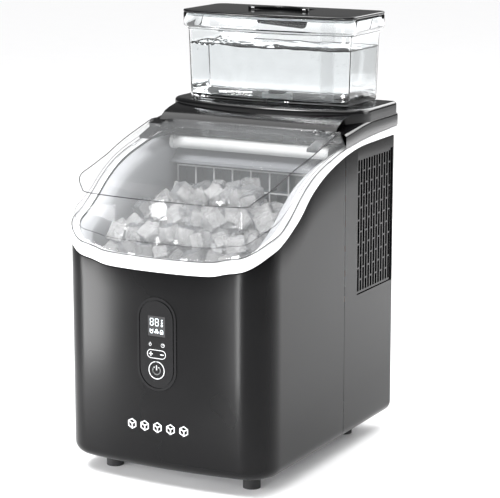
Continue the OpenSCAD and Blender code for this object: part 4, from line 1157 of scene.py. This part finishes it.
class ICE_OT_water(bpy.types.Operator):
    """Fills the tank with water that has small waves and bubbles"""
    bl_idname = "ice.water"
    bl_label = "Water"

    def execute(self, context):
        s = settings("ice_tank")
        outline = tank_outline()
        lo = tank_lo.z + 3.15 * MM
        top = lo + s.water_height
        gap = 0.12 * MM

        def ring(inset, z, wave=0.0):
            spots = outline.closed(inset, 30, 12, 40, 8, 20)
            if not wave:
                return [(x, y, z) for x, y in spots]
            return [(x, y, z + wave * swell(x, y)) for x, y in spots]

        def swell(x, y):
            base = noise.noise(Vector((x * 38, y * 60, 0.3)))
            fine = noise.noise(Vector((x * 130, y * 150, 4.0)))
            d = math.hypot((x + 12 * MM) / (14 * MM), (y - tank_lo.y - 30 * MM) / (16 * MM))
            ripple = 0.9 * math.exp(-((d - 1) / 0.22) ** 2) - 0.5 * math.exp(-(d / 0.7) ** 2)
            splash = 0.9 * math.exp(-((x + 78 * MM) / (16 * MM)) ** 2) * math.sin(x * 900)
            return 1.1 * base + 0.35 * fine + ripple + splash

        rings = [ring(40 * MM, lo), ring(tank_inset(lo, s) + s.wall + 5.2 * MM, lo),
                 ring(tank_inset(lo, s) + s.wall + 0.6 * MM, lo + 2.6 * MM)]
        for k in range(1, 9):
            z = lo + (s.water_height - 3 * MM) * k / 8
            rings.append(ring(tank_inset(z, s) + s.wall + gap, z))
        rings.append(ring(tank_inset(top, s) + s.wall + gap, top + 1.0 * MM, 1.3 * MM))
        rings.append(ring(tank_inset(top, s) + s.wall + 0.9 * MM, top + 0.2 * MM, 1.5 * MM))
        for inset in np.linspace(3, 40, 20):
            rings.append(ring(inset * MM + s.wall, top, 1.7 * MM))
        last = rings[-1]
        mid = sum(p[1] for p in last) / len(last)
        for share in (0.5, 0.0):
            rings.append([(x, mid + (y - mid) * share, top + 1.7 * MM * swell(x, mid + (y - mid) * share))
                          for x, y, _ in last])
        rings.insert(0, [(x, mid, z) for x, y, z in rings[0]])
        make("tank_water", *loft(rings, closed=True), "water", "tank", None, (), 60)

        # A dark tube round the water's edge: a painted shade line where the water meets the wall
        level = tank_inset(top, s) + s.wall + 0.5 * MM
        around = [(x, y, top + 0.3 * MM + 1.3 * MM * swell(x, y))
                  for x, y in outline.closed(level, 30, 12, 90, 8, 20)]
        around.append(around[0])
        make("tank_painted_waterline", *tube_along(around, 0.75 * MM), "line", "tank", None, (), 60,
             weld=1e-9)

        rng = random.Random(3)
        parts = []
        for _ in range(s.bubbles):
            u = rng.random()
            x = rng.uniform(-84, 84) if u < 0.45 else rng.gauss(66, 12)
            x = max(min(x, 86), -86) * MM
            y = rng.uniform(tank_lo.y + 20 * MM, tank_hi.y - 16 * MM)
            z = rng.uniform(lo + 4 * MM, top - 4 * MM) if u < 0.8 else top - rng.uniform(3, 9) * MM
            r = rng.choice((0.4, 0.5, 0.6, 0.8, 1.1)) * MM
            parts.append(ball(r, (x, y, z)))
        if parts:
            make("tank_bubbles", *join(parts), "bubble", "tank", None, (), 60, weld=1e-9)
        return {"FINISHED"}


def ball(r, at, around=10, up=6):
    """A small closed ball as verts and faces."""
    verts = [(at[0], at[1], at[2] - r)]
    for i in range(1, up):
        a = math.pi * i / up
        for j in range(around):
            b = 2 * math.pi * j / around
            verts.append((at[0] + r * math.sin(a) * math.cos(b), at[1] + r * math.sin(a) * math.sin(b),
                          at[2] - r * math.cos(a)))
    verts.append((at[0], at[1], at[2] + r))
    faces = [(0, 1 + (j + 1) % around, 1 + j) for j in range(around)]
    for i in range(up - 2):
        for j in range(around):
            a, b = 1 + i * around + j, 1 + i * around + (j + 1) % around
            faces.append((a, b, b + around, a + around))
    last = 1 + (up - 2) * around
    faces += [(last + j, last + (j + 1) % around, len(verts) - 1) for j in range(around)]
    return verts, faces


class ICE_OT_tank_cap(bpy.types.Operator):
    """Builds the tank's black lid with its finger pocket"""
    bl_idname = "ice.tank_cap"
    bl_label = "Tank lid"

    def execute(self, context):
        s = settings("ice_tank")
        outline = tank_outline()
        plate_lo, plate_hi = tank_hi.z + 0.2 * MM, tank_hi.z + 3.4 * MM

        def ring(inset, z):
            return [(x, y, z) for x, y in outline.closed(inset, 16, 10, 22, 8, 14)]

        edge, skirt = -s.rim, -3.0 * MM
        rings = [ring(inset, z) for inset, z in (
            (20 * MM, plate_lo + 1.2 * MM), (skirt + 2.4 * MM, plate_lo + 1.2 * MM),
            (skirt + 2.4 * MM, plate_lo - 4.0 * MM), (skirt, plate_lo - 4.0 * MM), (skirt, plate_lo),
            (edge + 0.5 * MM, plate_lo), (edge, plate_lo + 0.5 * MM), (edge, plate_hi - 1.2 * MM),
            (edge + 0.3 * MM, plate_hi - 0.5 * MM), (edge + 1.0 * MM, plate_hi - 0.08 * MM),
            (edge + 2.0 * MM, plate_hi), (20 * MM, plate_hi))]
        mid = (tank_lo.y + tank_hi.y) / 2

        def seam(z):
            return [(x, mid + (y - mid) * 0.001, z) for x, y, _ in ring(38 * MM, z)]

        rings = [seam(plate_lo + 1.2 * MM), ring(38 * MM, plate_lo + 1.2 * MM)] + rings + [
            ring(38 * MM, plate_hi), seam(plate_hi)]
        obj = make("tank_cap", *loft(rings, closed=True), "cover", "tank_cover", "cover_gloss",
                   ("tank_lid",), 50, weld=1e-5)
        cut(obj, *block((-POCKET_HALF, POCKET_Y0, plate_lo - 2 * MM),
                        (POCKET_HALF, POCKET_Y1, plate_hi + 2 * MM)))

        def rounded(grow, z):
            """A rounded rectangle around the finger pocket."""
            r = 4 * MM
            half_x, half_y = POCKET_HALF + grow - r, (POCKET_Y1 - POCKET_Y0) / 2 + grow - r
            return [(math.copysign(half_x, math.cos(a)) + r * math.cos(a),
                     (POCKET_Y0 + POCKET_Y1) / 2 + math.copysign(half_y, math.sin(a)) + r * math.sin(a), z)
                    for a in (2 * math.pi * (i + 0.5) / 24 for i in range(24))]

        deep, brim = plate_hi - 18 * MM, plate_hi - 0.1 * MM
        cup = [rounded(grow * MM, z) for grow, z in (
            (0.6, brim), (1.6, plate_lo + 0.3 * MM), (1.6, deep - 1.6 * MM), (-3, deep - 2 * MM),
            (-8, deep - 2 * MM), (-8, deep), (-3, deep), (-0.8, deep + 1 * MM), (-0.3, deep + 4 * MM),
            (-0.2, brim))]
        verts, faces = loft(cup, closed=True)
        cap(verts, faces, 4 * 24, 24)
        cap(verts, faces, 5 * 24, 24, True)
        faces += [(9 * 24 + i, 9 * 24 + (i + 1) % 24, (i + 1) % 24, i) for i in range(24)]
        make("pocket_cup", verts, faces, "cover", "tank_cover", "cover_gloss", (), 40)
        lug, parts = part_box("handle_pins"), []
        y = (lug[0].y + lug[1].y) / 2
        for side in (-1, 1):
            x = side * (lug[1].x - 1.8 * MM)
            parts.append(block((x - 1.4 * MM, y - 2 * MM, plate_hi - 0.1 * MM),
                               (x + 1.4 * MM, y + 2 * MM, plate_hi + 4 * MM)))
        soften(make("handle_lugs", *join(parts), "cover", "tank_cover", "cover_gloss", (), 40),
               0.5 * MM, 3)
        return {"FINISHED"}


class ICE_OT_handle(bpy.types.Operator):
    """Builds the crescent handle on the tank's lid"""
    bl_idname = "ice.handle"
    bl_label = "Handle"

    def execute(self, context):
        lo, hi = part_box("tank_handle")
        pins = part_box("handle_pins")
        half, y0, rise = hi.x, (pins[0].y + pins[1].y) / 2, 20 * MM

        def arc(half_chord, height, start):
            r = (half_chord ** 2 + height ** 2) / (2 * height)
            cy = start + height - r
            sweep = math.asin(half_chord / r)
            return [(r * math.sin(t), cy + r * math.cos(t)) for t in
                    (sweep * (1 - 2 * i / 32) for i in range(33))]

        outer = arc(half, rise, y0)
        inner = arc(half - 4 * MM, 12 * MM, y0)
        n = len(outer)
        verts, faces = [], []
        for z in (lo.z + 0.1 * MM, hi.z):
            verts += [(x, y, z) for x, y in outer] + [(x, y, z) for x, y in inner]
        for i in range(n - 1):
            faces.append((i, i + 1, n + i + 1, n + i))
            faces.append((2 * n + i, 3 * n + i, 3 * n + i + 1, 2 * n + i + 1))
            faces.append((i, 2 * n + i, 2 * n + i + 1, i + 1))
            faces.append((n + i, n + i + 1, 3 * n + i + 1, 3 * n + i))
        faces += [(0, n, 3 * n, 2 * n), (n - 1, 3 * n - 1, 4 * n - 1, 2 * n - 1)]
        obj = make("carry_handle", verts, faces, "cover", "handle", "cover_gloss",
                   ("tank_handle",), 40)
        soften(obj, 0.9 * MM, 4)
        return {"FINISHED"}


# ---- controls -----------------------------------------------------------------------------------
def stroke(points, width, closed=False):
    """A flat ribbon along a path in X and Z, as one outline per stretch."""
    quads = []
    last = len(points) if closed else len(points) - 1
    for i in range(last):
        a, b = Vector(points[i]), Vector(points[(i + 1) % len(points)])
        along = (b - a).normalized() * width * 0.5
        side = Vector((-along.y, along.x))
        a, b = a - along * 0.6, b + along * 0.6
        quads.append([tuple(a + side), tuple(a - side), tuple(b - side), tuple(b + side)])
    return quads


def ring_band(outer, inner):
    """Quads between two closed outlines of the same count."""
    n = len(outer)
    return [[outer[i], outer[(i + 1) % n], inner[(i + 1) % n], inner[i]] for i in range(n)]


def relief(shapes, y_face, depth):
    """Flat shapes raised a little from a face that looks forwards."""
    return join([upright([tuple(p) for p in shape], y_face - depth, y_face) for shape in shapes])


def near(at, *points):
    """Points given in millimetres from a spot."""
    return [(at[0] + x * MM, at[1] + z * MM) for x, z in points]


def circle(x, z, r, n, start=0.0, sweep=2 * math.pi):
    steps = n if sweep >= 2 * math.pi else n + 1
    return [(x + r * math.cos(start + sweep * i / n), z + r * math.sin(start + sweep * i / n))
            for i in range(steps)]


class ICE_OT_panel(bpy.types.Operator):
    """Builds the lit digits and icons and the marks on the keys"""
    bl_idname = "ice.panel"
    bl_label = "Display and key marks"

    def execute(self, context):
        cx, cz = 0.0, (display_lo.z + display_hi.z) / 2
        face = display_lo.y
        thin, step = 0.05 * MM, 0.25 * MM
        shapes = []
        for x in (-5.3, 0.6):
            w, h, t = 1.7, 3.5, 0.45
            at = Vector((x * MM, cz + 4.2 * MM))
            bars = [((-w, h), (w, h)), ((-w, 0), (w, 0)), ((-w, -h), (w, -h)), ((-w, 0.15), (-w, h)),
                    ((w, 0.15), (w, h)), ((-w, -h), (-w, -0.15)), ((w, -h), (w, -0.15))]
            for a, b in bars:
                a, b = Vector(a) * MM, Vector(b) * MM
                short = (b - a).normalized() * 0.45 * MM
                shapes += stroke([tuple(at + a + short), tuple(at + b - short)], t * MM)
        for r, dz in ((0.8, 6.6), (0.95, 3.9), (1.1, 1.2)):
            z = cz + dz * MM
            shapes += ring_band(circle(6.4 * MM, z, r * MM, 16), circle(6.4 * MM, z, r * MM * 0.5, 16))
        fan = (0.2 * MM, cz - 5.2 * MM)
        for k in range(3):
            a = math.pi / 2 + 2 * math.pi * k / 3
            blade = near(fan, (1.5 * math.cos(a), 1.5 * math.sin(a)))[0]
            shapes.append(circle(*blade, 1.0 * MM, 14))
        drop = (-5.6 * MM, cz - 5.4 * MM)
        shapes += stroke(near(drop, (-1.5, 2.2), (-1.5, -1.0), (-0.7, -1.8), (0.7, -1.8), (1.5, -1.0),
                              (1.5, 2.2)), 0.5 * MM)
        shapes += stroke(near(drop, (-0.9, 1.2), (0.9, 1.2)), 0.9 * MM)
        can = (6.0 * MM, cz - 5.4 * MM)
        shapes += stroke(near(can, (-1.5, -1.8), (1.5, -1.8), (1.5, 0.9), (0.6, 2.0), (-0.6, 2.0),
                              (-1.5, 0.9)), 0.5 * MM, True)
        shapes += stroke(near(can, (-0.8, -0.6), (0.8, -0.6)), 0.8 * MM)
        make("display_digits", *relief(shapes, face - thin, step), "glow", "base", None, (), 30)

        rocker_z, front = (rocker_lo.z + rocker_hi.z) / 2, rocker_lo.y
        half = (rocker_hi.x - rocker_lo.x) / 2 - 1.6 * MM
        tall = rocker_hi.z - rocker_lo.z
        keys = ring_band(pill(2 * half - 0.4 * MM, tall - 0.4 * MM, cx, rocker_z),
                         pill(2 * half - 1.7 * MM, tall - 1.7 * MM, cx, rocker_z))
        minus, plus = (half * 0.58, rocker_z), (-half * 0.58, rocker_z)
        keys += stroke(near(plus, (-1.9, 0), (1.9, 0)), 1.0 * MM)
        keys += stroke(near(plus, (0, -1.9), (0, 1.9)), 1.0 * MM)
        keys += stroke(near(minus, (-1.7, 0), (1.7, 0)), 1.0 * MM)
        make("rocker_marks", *relief(keys, front - thin, step), "mark", "rocker", None, (), 30)

        pz, pr, pf = (power_lo.z + power_hi.z) / 2, (power_hi.z - power_lo.z) / 2, power_lo.y
        power = ring_band(circle(0, pz, pr - 0.2 * MM, 48), circle(0, pz, pr - 1.1 * MM, 48))
        gap = math.radians(38)
        bow = circle(0, pz - 0.2 * MM, 4.1 * MM, 28, math.pi / 2 + gap, 2 * math.pi - 2 * gap)
        power += stroke(bow, 1.1 * MM)
        power += stroke([(0, pz + 0.6 * MM), (0, pz + 4.6 * MM)], 1.1 * MM)
        make("power_marks", *relief(power, pf - thin, step), "mark", "power_button", None, (), 30)

        icon_z, yb = rocker_z + 9.6 * MM, bezel_lo.y
        clock, tap = (7.2 * MM, icon_z), (-7.2 * MM, icon_z - 0.5 * MM)
        small = ring_band(circle(*clock, 2.1 * MM, 20), circle(*clock, 1.6 * MM, 20))
        small += stroke(near(clock, (0, 0), (0, 1.2)), 0.4 * MM)
        small += stroke(near(clock, (0, 0), (0.9, 0)), 0.4 * MM)
        drip = []
        for i in range(14):
            a = 2 * math.pi * i / 14
            r = 1.5 + 0.25 * math.cos(a) if i else 2.9
            drip += near(tap, (r * math.cos(math.pi / 2 + a), r * math.sin(math.pi / 2 + a)))
        small += ring_band(drip, [(tap[0] + (x - tap[0]) * 0.62, tap[1] + (z - tap[1]) * 0.62)
                                  for x, z in drip])
        make("panel_icons", *relief(small, yb - thin, step), "mark", "base", None, (), 30)
        return {"FINISHED"}


# ---- stage --------------------------------------------------------------------------------------
# The camera: its place in metres, the way back from it, its lens and sensor in millimetres
CAMERA_AT, CAMERA_BACK = (1.01049, -1.84974, 0.65988), (0.4621, -0.8627, 0.2055)
CAMERA_LENS, CAMERA_SENSOR = 147.09, 36
# How far the floor's grid is turned, in degrees, so that it lies square to the camera
FLOOR_TURN = 28.2
# Low light boxes: name, bearing in degrees, distance, height, size in metres, power in watts
BOXES = (("left_box", -44, 0.62, 0.10, (0.16, 0.19), 2.4), ("strip", 5, 0.5, 0.12, (0.04, 0.22), 1.1),
         ("right_box", 118, 2.1, 0.9, (0.9, 1.4), 14))
# Strength of the overhead sun and its width in radians
SUN_STRENGTH, SUN_WIDTH = 3.3, 1.3


def area(name, place, target, size, energy):
    data = bpy.data.lights.new(name, "AREA")
    data.shape = "RECTANGLE"
    data.size, data.size_y = size
    data.energy = energy
    obj = bpy.data.objects.new(name, data)
    obj.location = place
    obj.rotation_euler = (Vector(target) - Vector(place)).to_track_quat("-Z", "Y").to_euler()
    obj.visible_camera = False
    bpy.context.scene.collection.objects.link(obj)


class ICE_OT_stage(bpy.types.Operator):
    """Sets the pale floor, the soft lights and the camera"""
    bl_idname = "ice.stage"
    bl_label = "Stage"

    def execute(self, context):
        s = settings("ice_stage")
        half = s.floor
        rings = [[(x * half / 4, y * half / 4, 0) for x in range(-4, 5)] for y in range(-4, 5)]
        verts, faces = loft(rings)
        mesh = bpy.data.meshes.new("floor")
        mesh.from_pydata(verts, [], faces)
        for face in mesh.polygons:
            face.use_smooth = True
        floor = bpy.data.objects.new("floor", mesh)
        floor.matrix_world = Matrix.Rotation(math.radians(FLOOR_TURN), 4, "Z")
        mesh.materials.append(moulded("pale_floor", (0.93, 0.93, 0.935), 0.5, 60, 0.0, 0.005))
        bpy.context.scene.collection.objects.link(floor)
        world = bpy.data.worlds.new("studio")
        world.use_nodes = True
        back = world.node_tree.nodes["Background"]
        back.inputs["Color"].default_value = (1, 1, 1, 1)
        back.inputs["Strength"].default_value = s.sky
        context.scene.world = world
        for name, azimuth, distance, height, size, energy in BOXES:
            a = math.radians(azimuth)
            area(name, (distance * math.sin(a), -distance * math.cos(a), height),
                 (0, 0, height if distance < 1 else 0.24), size, energy)
        area("ice_fill", (-0.35, -0.75, 1.3), (0, -0.04, 0.26), (0.4, 0.4), 16)
        area("side_fill", (0.6, 1.15, 0.9), (0.6, 1.15, 0), (1.4, 1.4), 34)
        sun = bpy.data.lights.new("overhead", "SUN")
        sun.energy, sun.angle = SUN_STRENGTH, SUN_WIDTH
        lamp = bpy.data.objects.new("overhead", sun)
        lamp.rotation_euler = (math.radians(8), math.radians(-6), 0)
        context.scene.collection.objects.link(lamp)
        context.scene.view_settings.view_transform = "Standard"
        camera = bpy.data.cameras.new("camera")
        camera.lens, camera.sensor_width = CAMERA_LENS, CAMERA_SENSOR
        obj = bpy.data.objects.new("camera", camera)
        obj.location = CAMERA_AT
        obj.rotation_euler = Vector(CAMERA_BACK).to_track_quat("Z", "Y").to_euler()
        context.scene.collection.objects.link(obj)
        context.scene.camera = obj
        return {"FINISHED"}


class ICE_PT_panel(bpy.types.Panel):
    """Lists the pieces that can be built"""
    bl_idname = "ICE_PT_panel"
    bl_label = "Ice maker"
    bl_space_type = "VIEW_3D"
    bl_region_type = "UI"
    bl_category = "Ice Maker"

    def draw(self, context):
        for step in STEPS:
            self.layout.operator(step.bl_idname)


SETTINGS = {"ice_casing": CasingSettings, "ice_lid": LidSettings, "ice_tank": TankSettings,
            "ice_heap": IceSettings, "ice_finish": FinishSettings, "ice_stage": StageSettings}
STEPS = (ICE_OT_finish_frame, ICE_OT_front_shell, ICE_OT_rear_shell, ICE_OT_belt, ICE_OT_cover,
         ICE_OT_lid, ICE_OT_hinges, ICE_OT_tub, ICE_OT_ice, ICE_OT_tank, ICE_OT_water,
         ICE_OT_tank_cap, ICE_OT_handle, ICE_OT_panel, ICE_OT_stage)


def register():
    for cls in (*SETTINGS.values(), *STEPS, ICE_PT_panel):
        bpy.utils.register_class(cls)
    for name, cls in SETTINGS.items():
        setattr(bpy.types.Scene, name, bpy.props.PointerProperty(type=cls))


def unregister():
    for name in SETTINGS:
        delattr(bpy.types.Scene, name)
    for cls in reversed((*SETTINGS.values(), *STEPS, ICE_PT_panel)):
        bpy.utils.unregister_class(cls)


def main():
    register()
    for step in STEPS:
        group, name = step.bl_idname.split(".")
        getattr(getattr(bpy.ops, group), name)()
    bpy.context.view_layer.update()


if __name__ == "__main__":
    main()
